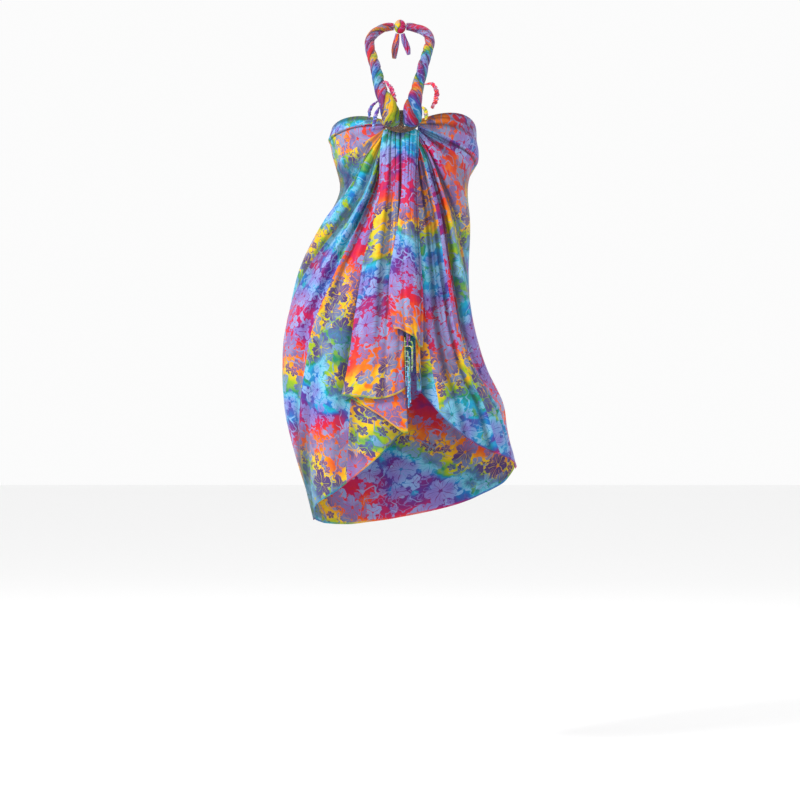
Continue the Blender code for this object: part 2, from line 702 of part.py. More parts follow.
def build():
    """Make every piece of the sarong."""
    for ob in list(bpy.data.objects):
        bpy.data.objects.remove(ob)
    left, left_columns, left_seam = front_grid(LEFT_FOLDS, -1, RAY_STEPS, FOLD_STEPS)
    right, right_columns, right_seam = front_grid(RIGHT_FOLDS, 1, RAY_STEPS, FOLD_STEPS)
    back = back_grid(left_seam, right_seam, BACK_COLUMNS)
    front_objects(left, left_columns, LEFT_PARTS, -1)
    front_objects(right, right_columns, RIGHT_PARTS, 1)
    normals = grid_normals(back)
    for column, side in ((0, -1), (-1, 1)):
        straight = form_normal(side * SIDE_ANGLE, back[:, column, 2])
        normals[:, column] = straight * np.sign(np.sum(straight[2] * normals[2, column]))
    wall_object("back_wrap", back, normals, CLOTH_THICK, CLOTH_COLOUR)
    straps = {}
    for name, rows in (("left_strap", STRAP_LEFT), ("right_strap", STRAP_RIGHT)):
        path = path_points(row_points(rows), STRAP_STEPS)
        straps[name] = tube_object(name, path, STRAP_SIDES, STRAP_TURNS, STRAP_LOBE, CLOTH_COLOUR)
    knot_object()
    for name, rows in (("left_tail", TAIL_LEFT), ("right_tail", TAIL_RIGHT)):
        tube_object(name, path_points(row_points(rows), 9), 8, 0.5, 0.1, CLOTH_COLOUR)
    buckle_object()
    for name, carrier, rows in STRAP_TASSELS:
        table = seated(row_points(rows), straps[carrier])
        tube_object(name, path_points(table, 11), 6, 0.5, 0.1, FRINGE_COLOUR)
    for name, grid, tassels, start in (
            ("left_fringe", left, LEFT_TASSELS, LEFT_FRINGE_FROM),
            ("right_fringe", right, RIGHT_TASSELS, RIGHT_FRINGE_FROM)):
        marks = np.linspace(start, 0.99, 2 * len(tassels) + 2) * (grid.shape[1] - 1)
        edge = along_edge(grid[-1], marks)
        inward = along_edge(grid[-2], marks) - edge
        inward /= np.linalg.norm(inward, axis=1, keepdims=True)
        out = along_edge(grid_normals(grid)[-1], marks)
        out = out * -np.sign(out[:, 1:2])
        fringe_object(name, edge, inward, out, tassels, FRINGE_COLOUR)


build()
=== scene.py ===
"""Sarong worn as a halter wrap: cloth, straps, buckle, fringe and their finishes."""
import math

import bmesh
import bpy
import numpy as np
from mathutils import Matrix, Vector
from mathutils.bvhtree import BVHTree


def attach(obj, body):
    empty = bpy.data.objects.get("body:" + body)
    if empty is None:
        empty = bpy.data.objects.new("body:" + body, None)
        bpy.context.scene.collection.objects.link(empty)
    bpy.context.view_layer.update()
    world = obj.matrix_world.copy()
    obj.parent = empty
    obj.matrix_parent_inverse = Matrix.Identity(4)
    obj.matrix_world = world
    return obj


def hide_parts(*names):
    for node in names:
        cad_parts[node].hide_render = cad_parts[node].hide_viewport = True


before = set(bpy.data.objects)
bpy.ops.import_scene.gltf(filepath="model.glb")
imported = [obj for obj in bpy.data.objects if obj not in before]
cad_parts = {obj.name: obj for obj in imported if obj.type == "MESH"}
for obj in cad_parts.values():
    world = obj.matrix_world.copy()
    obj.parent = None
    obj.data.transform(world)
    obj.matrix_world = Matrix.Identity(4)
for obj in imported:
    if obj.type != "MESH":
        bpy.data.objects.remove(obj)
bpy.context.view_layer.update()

# Sizes of the wrap
AXIS_Y = -0.065
SIDE_ANGLE = 100.0
CLOTH_THICK = 0.0008
RAY_STEPS = 90
FOLD_STEPS = 9
BACK_COLUMNS = 96
ARC_PER_DEGREE = 0.0024
TURN_START = 0.0020
TURN_END = 0.0036
GATHER_SHARE = 0.22
MEASURE_STEP = 60
PLEAT_APART = 0.137
NO_HEM = 0.5
BACK_DYE_SHIFT = 0.030
DYE_DEPTH = 0.88
SEAT_REACH = 0.0045
SEAT_SUNK = 0.0015

# Places on the flat cloth, in metres, where the right front and the back start and the back's hem lies
RIGHT_CLOTH_START = 1.3
BACK_CLOTH_START = 2.6
BACK_CLOTH_HEM = 0.9

# Share of a ray where the hem starts to flutter and the dye of a front to run into the back's
HEM_FROM = 0.72
HEM_SPAN = 0.28

# How fast the dye runs along the cloth of the back and down the side line
BACK_DYE_RUN = 0.9
SIDE_DYE_RUN = 0.93

# Share of the colour taken away by painted shade in the deepest hollow of a fold
PAINTED_FOLD_SHADE = 0.66

# Front of the buckle plate, which the wide strap ends lie on, and the half width that fits its holes
PLATE_FRONT = -0.2113
PLATE_LEAN = 0.03
HOLE_REACH = 0.0072
STRAP_FOOT_FROM = -0.216
STRAP_LOW = -0.19

# Fringes, with the reach in mm and turn in degrees of each hanging tassel from its root
FRINGE_STRIP_WIDE = 0.0026
LEFT_FRINGE_FROM = 0.80
RIGHT_FRINGE_FROM = 0.90
TASSEL_LONG = 0.052
LEFT_TASSELS = (
    (16.0, 30.0),
    (16.0, 40.0),
    (5.0, 10.0),
    (11.0, 50.0),
    (16.0, 65.0),
    (12.0, 65.0),
    (7.0, 65.0),
    (8.0, 10.0),
    (4.0, 0.0),
)
RIGHT_TASSELS = (
    (13.0, 0.0),
    (8.5, 0.0),
    (4.0, 0.0),
)

# Path of a tassel: share of its reach, share of its length, half thickness
FRINGE_PATH = (
    (0.55, 0.010, 0.0010),
    (0.90, 0.045, 0.0012),
    (1.00, 0.120, 0.0014),
    (1.00, 0.350, 0.0013),
    (1.00, 0.650, 0.0014),
    (1.00, 0.930, 0.0016),
    (1.00, 1.000, 0.0009),
)

# Studio, with the camera where the photograph was taken from
FLOOR_Z = -1.53
CAMERA_AWAY = 4.5
CAMERA_HEIGHT = -0.775
CAMERA_LENS = 99.26
LIGHTS = (
    ("key_light", (-2.4, -2.3, 1.5), (0.7, 0.7), 115.0),
    ("fill_light", (2.4, -2.6, 0.2), (2.0, 2.4), 6.0),
    ("back_light", (0.4, 2.6, 1.4), (2.4, 2.0), 14.0),
)

# Places on the dye, in metres, with the length along each strap where they lie
LEFT_STRAP_DYES = (
    (0.000, 0.195),
    (0.030, 0.195),
    (0.050, 0.237),
    (0.090, 0.305),
    (0.110, 0.270),
    (0.140, 0.240),
    (0.160, 0.254),
    (0.180, 0.317),
    (0.195, 0.360),
    (0.220, 0.329),
    (0.350, 0.341),
)
RIGHT_STRAP_DYES = (
    (0.000, -0.012),
    (0.030, 0.040),
    (0.050, 0.087),
    (0.075, 0.176),
    (0.100, 0.148),
    (0.120, 0.228),
    (0.150, 0.237),
    (0.165, 0.282),
    (0.190, 0.280),
    (0.210, 0.219),
    (0.240, 0.094),
    (0.350, 0.082),
)

# Shift on the dye of the three folds that wind round each other in a strap
STRAP_FOLD_DYES = (0.0, 0.034, -0.028)

# Dye place and span of each tassel
TASSEL_DYES = (
    (0.075, 0.020),
    (0.099, 0.020),
    (0.056, -0.012),
    (0.050, -0.010),
    (0.170, 0.030),
)
LEFT_FRINGE_DYES = (
    (0.205, 0.030),
    (0.190, 0.045),
    (0.210, 0.040),
    (0.225, 0.025),
    (0.215, 0.035),
    (0.235, 0.020),
    (0.240, 0.012),
    (0.245, 0.010),
    (0.245, 0.012),
)
RIGHT_FRINGE_DYES = (
    (0.052, 0.012),
    (0.060, 0.015),
    (0.045, 0.012),
)

# Figure form, one row for each height
# height, left half width, right half width, front depth, back depth
FORM = (
    (0.000, 0.125, 0.140, 0.100, 0.092),
    (-0.190, 0.132, 0.150, 0.114, 0.095),
    (-0.265, 0.141, 0.156, 0.125, 0.100),
    (-0.343, 0.124, 0.141, 0.122, 0.090),
    (-0.412, 0.150, 0.141, 0.122, 0.088),
    (-0.479, 0.185, 0.138, 0.127, 0.100),
    (-0.571, 0.220, 0.143, 0.132, 0.118),
    (-0.614, 0.232, 0.146, 0.135, 0.124),
    (-0.712, 0.232, 0.168, 0.142, 0.130),
    (-0.785, 0.225, 0.203, 0.148, 0.133),
    (-0.869, 0.207, 0.220, 0.152, 0.135),
    (-0.912, 0.197, 0.231, 0.155, 0.136),
    (-1.022, 0.170, 0.238, 0.158, 0.138),
    (-1.100, 0.165, 0.240, 0.160, 0.140),
)

# Folds of the left front, from the top edge to the free short edge
# name, four angles, four heights in mm, lift at start, middle and end in mm, turn
# turn is 0 for a plain fold line, 1 for a fold back on the right, -1 for one on the left,
# and 2 or -2 for one that goes under
LEFT_FOLDS = (
    ("top_edge", -11.5, -44.0, -72.0, -100.0, -220, -208, -217, -228, 1.0, 2.0, 1.0, 0),
    ("band_fold", -11.7, -43.9, -71.8, -100.0, -226, -229, -241, -252, 2.0, 4.0, 2.0, 0),
    ("band_groove", -11.8, -44.3, -72.1, -100.0, -231, -239, -252, -264, 0.5, -2.0, 0.0, 0),
    ("upper_groove", -11.8, -37.2, -67.3, -100.0, -236, -303, -340, -365, 0.0, -4.0, -1.0, 0),
    ("first_ridge", -11.6, -43.5, -71.3, -100.0, -241, -349, -455, -560, 1.5, 9.0, 3.0, 0),
    ("first_groove", -11.2, -42.8, -73.2, -100.0, -245, -385, -514, -650, 0.0, -6.0, -2.0, 0),
    ("second_ridge", -10.2, -38.8, -63.4, -100.0, -248, -455, -657, -850, 1.0, 9.0, 2.0, 0),
    ("second_groove", -9.8, -39.3, -60.6, -100.0, -252, -515, -772, -1018, 0.0, -5.0, 0.0, 0),
    ("third_ridge", -8.8, -26.3, -40.6, -58.7, -256, -507, -745, -981, 0.5, 4.0, 4.0, 0),
    ("shadow", -8.0, -16.2, -22.9, -32.8, -260, -496, -718, -939, 0.0, -3.0, -2.0, 0),
    ("under_panel", -7.4, -9.6, -10.5, -13.6, -262, -484, -689, -893, 0.0, 0.0, 3.0, 0),
    ("panel_fold", -4.4, -1.4, 1.5, 4.1, -264, -469, -655, -840, 2.4, 5.0, 6.0, 1),
    ("under_fold", -7.6, -10.3, -10.0, -11.2, -256, -449, -626, -803, 4.6, 9.0, 12.0, 0),
    ("flap_fold", -12.8, -20.5, -21.9, -29.1, -240, -426, -597, -767, 6.8, 11.0, 16.0, -1),
    ("flap_ridge", -8.4, -13.4, -14.4, -18.9, -236, -427, -598, -769, 9.2, 19.0, 25.0, 0),
    ("flap_valley", -5.0, -6.3, -7.7, -10.2, -235, -427, -600, -773, 8.6, 14.0, 18.0, 0),
    ("flap_roll", -1.8, -2.3, -2.4, -3.6, -235, -425, -596, -767, 9.0, 18.0, 22.0, 0),
    ("short_edge", 2.2, 3.0, 2.9, 3.3, -236, -420, -587, -753, 8.8, 14.0, 18.0, 0),
)

# Folds of the right front, with the same columns
RIGHT_FOLDS = (
    ("top_edge", 12.8, 43.8, 72.8, 100.0, -220, -200, -210, -236, 1.0, 2.0, 1.0, 0),
    ("band_dip", 13.0, 44.7, 72.4, 100.0, -226, -222, -241, -262, 0.5, -2.0, 0.0, 0),
    ("band_ridge", 13.1, 41.1, 70.1, 100.0, -230, -259, -283, -302, 2.0, 6.0, 2.0, 0),
    ("band_groove", 13.0, 43.0, 72.9, 100.0, -236, -273, -296, -330, 0.0, -5.0, -1.0, 0),
    ("bust_panel", 12.8, 39.5, 66.9, 100.0, -240, -335, -423, -500, 1.0, 5.0, 2.0, 0),
    ("waist_dip", 12.4, 45.8, 75.3, 100.0, -243, -380, -505, -620, 0.0, -6.0, -1.0, 0),
    ("hip_ridge", 12.2, 44.8, 68.4, 100.0, -246, -440, -640, -770, 1.0, 6.0, 2.0, 0),
    ("long_groove", 11.6, 42.4, 60.2, 100.0, -250, -470, -710, -912, 0.0, -5.0, 0.0, 0),
    ("hip_fold", 10.9, 33.0, 45.0, 60.0, -254, -458, -670, -885, 0.8, 5.0, 3.0, 0),
    ("soft_groove", 10.3, 25.0, 33.0, 40.3, -257, -450, -650, -857, 0.0, -3.0, -2.0, 0),
    ("inner_panel", 9.4, 15.8, 22.0, 25.0, -260, -440, -625, -815, 0.0, 0.0, 2.0, 0),
    ("panel_fold", 6.2, 8.6, 11.1, 9.8, -262, -429, -593, -760, 2.4, 7.0, 6.0, -1),
    ("under_fold", 9.6, 10.9, 13.3, 12.2, -250, -413, -566, -725, 4.6, 13.0, 14.0, 0),
    ("flap_fold", 13.4, 13.2, 15.6, 14.6, -240, -393, -532, -671, 7.4, 20.0, 22.0, 1),
    ("flap_ridge", 9.0, 7.6, 8.3, 9.6, -236, -388, -521, -653, 14.4, 33.0, 34.0, 0),
    ("flap_roll", 5.0, 4.0, 2.3, 3.6, -235, -384, -513, -642, 14.8, 33.0, 34.0, 0),
    ("roll_edge", 0.6, 0.4, -4.7, -2.6, -235, -382, -509, -635, 12.8, 28.0, 29.0, -2),
    ("short_edge", 4.6, 5.2, 1.5, 3.6, -236, -380, -504, -630, 10.9, 24.5, 25.5, 0),
)

# Number of rows that end on the side line, in both tables
SIDE_ROWS = 8

# Vertical folds of the back: angle, width in degrees, lift in mm at top and hem
BACK_FOLDS = (
    (118.0, 7.0, 1.0, 6.0),
    (139.0, 9.0, -1.0, -7.0),
    (160.0, 10.0, 1.5, 10.0),
    (181.0, 8.0, -1.0, -6.0),
    (203.0, 11.0, 1.0, 8.0),
    (226.0, 8.0, -1.0, -8.0),
    (243.0, 7.0, 0.5, 5.0),
)
BACK_TOP_SAG = -0.022
BACK_HEM_SAG = -0.056

# Straps, from the buckle to the nape: x, depth before the axis, height, radius, all in mm
STRAP_LEFT = (
    (-18.0, 140.9, -225.4, 7.0),
    (-18.6, 147.0, -226.5, 11.5),
    (-19.0, 153.5, -221.5, 18.0),
    (-20.0, 158.5, -207.0, 20.0),
    (-27.5, 152.0, -187.0, 16.6),
    (-37.5, 120.0, -162.0, 13.6),
    (-43.5, 92.0, -135.0, 12.6),
    (-50.0, 68.0, -105.0, 11.5),
    (-57.0, 44.0, -79.0, 11.0),
    (-62.0, 15.0, -55.0, 10.5),
    (-60.0, -22.0, -34.0, 10.5),
    (-49.0, -54.0, -15.0, 10.0),
    (-33.0, -73.0, -4.0, 9.5),
    (-22.0, -77.5, -0.5, 9.0),
    (-13.15, -78.1, 0.0, 8.0),
)
STRAP_RIGHT = (
    (20.3, 140.9, -225.6, 6.8),
    (22.0, 147.0, -226.5, 11.5),
    (23.0, 153.5, -221.5, 18.2),
    (24.4, 158.5, -207.0, 19.8),
    (28.0, 152.0, -187.0, 16.6),
    (33.0, 120.0, -162.0, 13.6),
    (39.5, 92.0, -135.0, 12.6),
    (47.0, 68.0, -103.0, 11.5),
    (54.0, 44.0, -76.0, 11.0),
    (60.0, 15.0, -52.0, 10.5),
    (59.0, -22.0, -30.0, 10.5),
    (48.0, -54.0, -13.0, 10.0),
    (33.0, -73.0, -4.0, 9.5),
    (22.0, -77.5, -0.5, 9.0),
    (13.15, -78.1, 0.0, 8.0),
)

# Knot at the nape, and the two cloth ends that hang from it
KNOT_CENTRE_Y = 0.0131
KNOT_WIDE = 0.0128
KNOT_DEEP = 0.0130
KNOT_TALL = 0.0150
TAIL_LEFT = (
    (-5.4, -78.1, -14.7, 4.2),
    (-7.5, -79.5, -30.0, 6.5),
    (-11.0, -79.0, -50.0, 7.0),
    (-12.0, -77.0, -66.0, 4.5),
)
TAIL_RIGHT = (
    (5.4, -78.1, -14.7, 4.2),
    (9.5, -79.5, -30.0, 6.5),
    (15.0, -79.0, -44.0, 6.5),
    (18.0, -77.0, -58.0, 4.0),
)

# Fringe tassels that stand out of the twisted straps, with the columns of the straps
STRAP_TASSELS = (
    ("strap_tassel_1", "left_strap", (
        (-28.5, 122.0, -141.0, 1.8), (-21.0, 131.0, -152.0, 3.6),
        (-14.0, 143.0, -168.0, 4.2), (-8.5, 151.0, -187.0, 3.0))),
    ("strap_tassel_2", "right_strap", (
        (53.6, 110.0, -146.0, 1.8), (65.0, 112.0, -147.0, 3.4),
        (72.5, 116.0, -160.0, 4.2), (71.5, 120.0, -178.0, 4.6), (64.0, 124.0, -196.0, 3.0))),
    ("strap_tassel_3", "left_strap", (
        (-46.0, 143.0, -186.0, 1.8), (-53.5, 146.0, -193.0, 2.8),
        (-60.0, 146.0, -204.0, 3.2), (-60.0, 145.0, -217.0, 2.2))),
    ("strap_tassel_4", "left_strap", (
        (-38.6, 153.0, -198.0, 1.8), (-45.5, 156.0, -208.0, 3.4),
        (-50.0, 156.0, -224.0, 3.6), (-53.0, 153.0, -245.0, 2.4))),
    ("strap_tassel_5", "right_strap", (
        (40.5, 163.5, -199.5, 1.6), (47.5, 165.5, -202.0, 3.0),
        (51.0, 161.5, -211.5, 3.8), (51.5, 158.0, -223.0, 2.6))),
)

# Creases laid along the rays of the left front
# place across in rays, start and end along the ray, half width in rays, depth in mm
LEFT_CREASES = (
    (0.6, 0.02, 0.60, 0.28, 1.8),
    (2.4, 0.05, 0.90, 0.30, -2.4),
    (2.8, 0.30, 1.00, 0.22, 2.0),
    (3.4, 0.02, 0.70, 0.20, -2.7),
    (3.8, 0.10, 0.95, 0.18, 1.8),
    (4.5, 0.02, 0.55, 0.22, -2.5),
    (5.5, 0.03, 0.62, 0.25, 2.8),
    (5.8, 0.30, 1.00, 0.20, -2.0),
    (6.5, 0.02, 0.70, 0.22, -3.0),
    (7.3, 0.25, 0.95, 0.35, 2.4),
    (7.7, 0.40, 1.00, 0.25, -3.3),
    (8.4, 0.15, 0.80, 0.25, 2.7),
    (8.7, 0.45, 1.00, 0.20, -2.7),
    (9.4, 0.35, 1.00, 0.30, 3.6),
    (10.3, 0.40, 1.00, 0.25, -2.7),
    (13.6, 0.20, 1.00, 0.35, 1.8),
    (17.0, 0.04, 0.75, 0.16, -2.2),
    (17.5, 0.10, 1.00, 0.22, 2.4),
    (18.4, 0.03, 0.85, 0.20, -2.1),
    (18.8, 0.30, 1.00, 0.18, 1.8),
    (19.5, 0.02, 0.90, 0.20, 2.0),
    (20.4, 0.05, 1.00, 0.25, -2.5),
)

# The same for the right front
RIGHT_CREASES = (
    (0.5, 0.03, 0.80, 0.22, -1.8),
    (1.5, 0.05, 0.85, 0.25, 2.2),
    (2.5, 0.02, 0.95, 0.20, -2.5),
    (3.5, 0.05, 0.80, 0.25, 2.4),
    (4.3, 0.10, 0.95, 0.25, -2.2),
    (4.7, 0.03, 0.60, 0.18, 2.0),
    (5.4, 0.02, 0.75, 0.22, 2.7),
    (6.4, 0.05, 1.00, 0.20, -2.5),
    (6.8, 0.30, 0.90, 0.18, 2.1),
    (7.5, 0.02, 0.80, 0.24, 2.8),
    (8.4, 0.15, 1.00, 0.22, -3.0),
    (9.4, 0.10, 0.75, 0.25, 2.2),
    (9.7, 0.40, 1.00, 0.20, -2.0),
    (10.5, 0.35, 1.00, 0.30, 2.1),
    (16.5, 0.04, 0.80, 0.20, -2.2),
    (17.4, 0.10, 1.00, 0.22, -2.4),
    (17.8, 0.03, 0.60, 0.16, 1.8),
    (18.5, 0.15, 1.00, 0.25, 2.2),
)

# Pleats of the left front, soft on one side and sharp on the other
# place across in rays, start and end along the ray, soft and sharp half widths in rays, depth in mm
LEFT_PLEATS = (
    (1.15, 0.00, 0.98, 0.45, 0.12, 5.3),
    (2.55, 0.00, 0.80, 0.40, 0.12, 5.0),
    (3.60, 0.00, 0.92, 0.50, 0.13, 7.1),
    (4.40, 0.02, 0.45, 0.30, 0.14, 4.0),
    (5.15, 0.00, 0.95, 0.50, 0.13, 7.8),
    (6.10, 0.00, 0.60, 0.45, 0.15, 5.3),
    (7.15, 0.00, 1.10, 0.60, 0.15, 9.3),
    (8.05, 0.02, 0.55, 0.30, 0.15, 4.7),
    (8.95, 0.00, 1.10, 0.45, 0.16, 7.1),
    (9.70, 0.05, 0.70, 0.35, 0.20, 4.0),
    (18.15, 0.00, 0.70, 0.30, 0.18, 2.8),
    (20.10, 0.05, 0.90, 0.35, 0.20, 2.5),
)
RIGHT_PLEATS = (
    (0.85, 0.00, 0.70, 0.35, 0.14, 3.4),
    (2.05, 0.00, 0.98, 0.50, 0.12, 6.2),
    (3.10, 0.00, 0.90, 0.40, 0.13, 5.6),
    (4.20, 0.02, 0.60, 0.40, 0.15, 4.7),
    (5.15, 0.00, 0.92, 0.45, 0.13, 7.4),
    (6.20, 0.00, 0.70, 0.45, 0.15, 5.0),
    (7.05, 0.00, 1.10, 0.45, 0.13, 8.1),
    (8.05, 0.00, 1.10, 0.40, 0.14, 7.8),
    (8.95, 0.00, 1.10, 0.45, 0.15, 6.8),
    (10.10, 0.10, 0.90, 0.35, 0.20, 3.4),
    (17.20, 0.00, 0.80, 0.30, 0.18, 2.8),
)

# Rounded cloth between two pleats: first and last ray, start and end along the ray, depth in mm
LEFT_SWELLS = (
    (1.20, 2.50, 0.00, 0.90, 3.0),
    (2.60, 3.55, 0.00, 0.75, 4.0),
    (3.70, 5.10, 0.00, 0.85, 5.0),
    (5.25, 7.10, 0.00, 1.10, 7.0),
    (7.25, 8.90, 0.00, 1.10, 9.0),
    (9.05, 10.60, 0.02, 1.10, 5.0),
    (18.30, 19.90, 0.02, 1.10, 3.0),
)
RIGHT_SWELLS = (
    (0.10, 2.00, 0.00, 0.95, 3.5),
    (2.15, 3.05, 0.00, 0.85, 3.0),
    (3.20, 5.10, 0.00, 0.90, 5.0),
    (5.25, 7.00, 0.00, 1.10, 5.5),
    (7.12, 8.00, 0.00, 1.10, 5.5),
    (8.12, 8.90, 0.00, 1.10, 3.5),
    (9.05, 10.60, 0.02, 1.10, 6.0),
)

# Pleats of each front, each with its own run of dye, since the gather swallows cloth between them
# first ray, then metres of cloth from the buckle with the place in the repeat there
LEFT_STRIPS = (
    (0.00, ((0.00, 0.75), (0.10, 1.10), (0.26, 1.60))),
    (1.15, ((0.00, 0.45), (0.05, 0.58), (0.10, 0.76), (0.14, 0.86), (0.20, 1.00), (0.40, 1.20))),
    (2.55, ((0.00, 0.70), (0.05, 0.80), (0.09, 0.95), (0.13, 1.06), (0.20, 1.00), (0.25, 1.10),
            (0.45, 1.50))),
    (3.60, ((0.00, 0.92), (0.12, 1.05), (0.20, 1.00), (0.235, 0.90), (0.27, 0.80), (0.31, 0.90),
            (0.345, 1.02), (0.40, 1.15), (0.45, 1.30), (0.60, 1.80))),
    (5.15, ((0.00, 0.95), (0.128, 1.03), (0.176, 1.08), (0.218, 1.15), (0.264, 1.20), (0.384, 1.28),
            (0.44, 1.45), (0.487, 1.62), (0.512, 1.78), (0.536, 1.93), (0.56, 2.06), (0.59, 2.20),
            (0.627, 2.38), (0.666, 2.60), (0.705, 2.80), (0.757, 2.95), (0.86, 3.05))),
    (7.15, ((0.00, 0.35), (0.08, 0.42), (0.20, 0.48), (0.25, 0.56), (0.29, 0.64), (0.35, 0.72),
            (0.385, 0.82), (0.462, 0.92), (0.494, 1.03), (0.521, 1.08), (0.553, 1.20), (0.582, 1.38),
            (0.624, 1.60), (0.663, 1.80), (0.695, 1.95), (0.73, 2.02), (0.90, 2.40))),
    (8.95, ((0.00, 0.04), (0.035, 0.08), (0.05, 0.22), (0.075, 0.36), (0.14, 0.52), (0.17, 0.66),
            (0.21, 0.75), (0.237, 0.82), (0.257, 0.95), (0.277, 1.06), (0.303, 1.20), (0.343, 1.38),
            (0.41, 1.52), (0.45, 1.64), (0.50, 1.72), (0.56, 1.76), (0.60, 1.86), (0.63, 1.74),
            (0.66, 1.55), (0.70, 1.35), (0.80, 1.20))),
)
RIGHT_STRIPS = (
    (0.00, ((0.00, 0.62), (0.05, 0.58), (0.10, 0.45), (0.16, 0.25), (0.25, 0.05))),
    (2.05, ((0.00, 0.15), (0.08, 0.22), (0.15, 0.40), (0.30, 0.75))),
    (3.10, ((0.00, 0.20), (0.05, 0.40), (0.10, 0.52), (0.14, 0.62), (0.20, 0.80), (0.28, 1.05),
            (0.40, 1.40))),
    (5.15, ((0.00, 0.40), (0.12, 0.65), (0.20, 0.86), (0.27, 0.98), (0.34, 1.07), (0.40, 1.20),
            (0.46, 1.33), (0.53, 1.47), (0.60, 1.60), (0.70, 1.75))),
    (7.05, ((0.00, 0.05), (0.06, 0.18), (0.14, 0.26), (0.20, 0.32), (0.27, 0.42), (0.33, 0.52),
            (0.36, 0.62), (0.40, 0.68), (0.47, 0.80), (0.55, 0.95), (0.70, 1.30), (0.80, 1.50))),
    (8.05, ((0.00, 0.45), (0.06, 0.62), (0.12, 0.78), (0.19, 0.86), (0.24, 1.05), (0.31, 1.20),
            (0.345, 1.35), (0.40, 1.50), (0.43, 1.60), (0.455, 1.75), (0.51, 1.95), (0.53, 2.05),
            (0.62, 2.15), (0.75, 2.40))),
    (10.20, ((0.00, 0.05), (0.04, 0.10), (0.08, 0.30), (0.14, 0.50), (0.19, 0.80), (0.235, 1.05),
             (0.275, 1.25), (0.31, 1.42), (0.36, 1.60), (0.40, 1.75), (0.50, 2.00), (0.70, 2.40))),
)

# Creases of the back: angle, half width in degrees, top and foot along the drop, depth in mm
BACK_CREASES = (
    (108.0, 2.5, 0.05, 0.55, -1.6),
    (113.0, 2.0, 0.30, 1.00, 1.4),
    (127.0, 2.6, 0.10, 0.80, -1.5),
    (133.0, 1.8, 0.45, 1.00, 1.6),
    (149.0, 2.2, 0.00, 0.60, 1.3),
    (154.0, 2.4, 0.40, 1.00, -1.8),
    (171.0, 2.2, 0.20, 0.95, 1.5),
    (176.0, 1.6, 0.00, 0.40, -1.2),
    (189.0, 2.4, 0.35, 1.00, 1.7),
    (196.0, 2.0, 0.05, 0.70, -1.4),
    (212.0, 2.2, 0.30, 1.00, -1.8),
    (219.0, 1.8, 0.00, 0.55, 1.2),
    (234.0, 2.3, 0.40, 1.00, 1.6),
    (250.0, 2.4, 0.05, 0.85, -1.5),
)


def hermite(p, span, start, end, start_slope, end_slope):
    """Cubic from a start to an end with their slopes, at a share of its span."""
    a = (1 + 2 * p) * (1 - p) ** 2 * start
    b = p * (1 - p) ** 2 * span * start_slope
    c = p * p * (3 - 2 * p) * end
    d = p * p * (p - 1) * span * end_slope
    return a + b + c + d


def smooth_table(table, at, column):
    """Smooth value of one column of a table of heights."""
    rows = sorted(table)
    xs = np.array([row[0] for row in rows], float)
    ys = np.array([row[column] for row in rows], float)
    slopes = np.gradient(ys, xs)
    at = np.clip(np.asarray(at, float), xs[0], xs[-1])
    low = np.clip(np.searchsorted(xs, at) - 1, 0, len(xs) - 2)
    span = xs[low + 1] - xs[low]
    part = (at - xs[low]) / span
    return hermite(part, span, ys[low], ys[low + 1], slopes[low], slopes[low + 1])


def on_form(angle, height, lift):
    """Points at an angle round the figure, at a height, lifted off the form."""
    turn = np.radians(angle)
    side = np.sin(turn)
    front = np.cos(turn)
    wide = np.where(side < 0, smooth_table(FORM, height, 1), smooth_table(FORM, height, 2))
    deep = np.where(front > 0, smooth_table(FORM, height, 3), smooth_table(FORM, height, 4))
    out_x = side / wide
    out_y = -front / deep
    size = np.sqrt(out_x ** 2 + out_y ** 2)
    x = wide * side + lift * out_x / size
    y = AXIS_Y - deep * front + lift * out_y / size
    return np.stack([x, y, height + 0.0 * x], axis=-1)


def fold_rays(table, steps):
    """Arc, height and lift in metres of every fold line, from buckle to hem."""
    t = np.linspace(0.0, 1.0, steps)
    rays = []
    for row in table:
        angle = cubic_through(row[1:5], t)
        height = cubic_through(row[5:9], t) / 1000.0
        lift = parabola_through(row[9:12], t) / 1000.0
        turn = row[12]
        arc = angle * ARC_PER_DEGREE
        if turn:
            reach = TURN_START + (TURN_END - TURN_START) * t
            inset = arc - math.copysign(1.3, turn) * reach
            if abs(turn) == 2:
                reach = -reach
            rays.append(np.stack([inset, height, lift - reach], axis=1))
            rays.append(np.stack([arc, height, lift], axis=1))
            rays.append(np.stack([inset, height, lift + reach], axis=1))
        else:
            rays.append(np.stack([arc, height, lift], axis=1))
    return np.array(rays)


def cubic_through(values, t):
    """Cubic curve through four values at equal steps."""
    a, b, c, d = values
    one = -4.5 * (t - 1 / 3) * (t - 2 / 3) * (t - 1)
    two = 13.5 * t * (t - 2 / 3) * (t - 1)
    three = -13.5 * t * (t - 1 / 3) * (t - 1)
    four = 4.5 * t * (t - 1 / 3) * (t - 2 / 3)
    return a * one + b * two + c * three + d * four


def parabola_through(values, t):
    """Curve through three values at equal steps."""
    a, b, c = values
    return a * (1 - t) * (1 - 2 * t) + 4 * b * t * (1 - t) + c * t * (2 * t - 1)


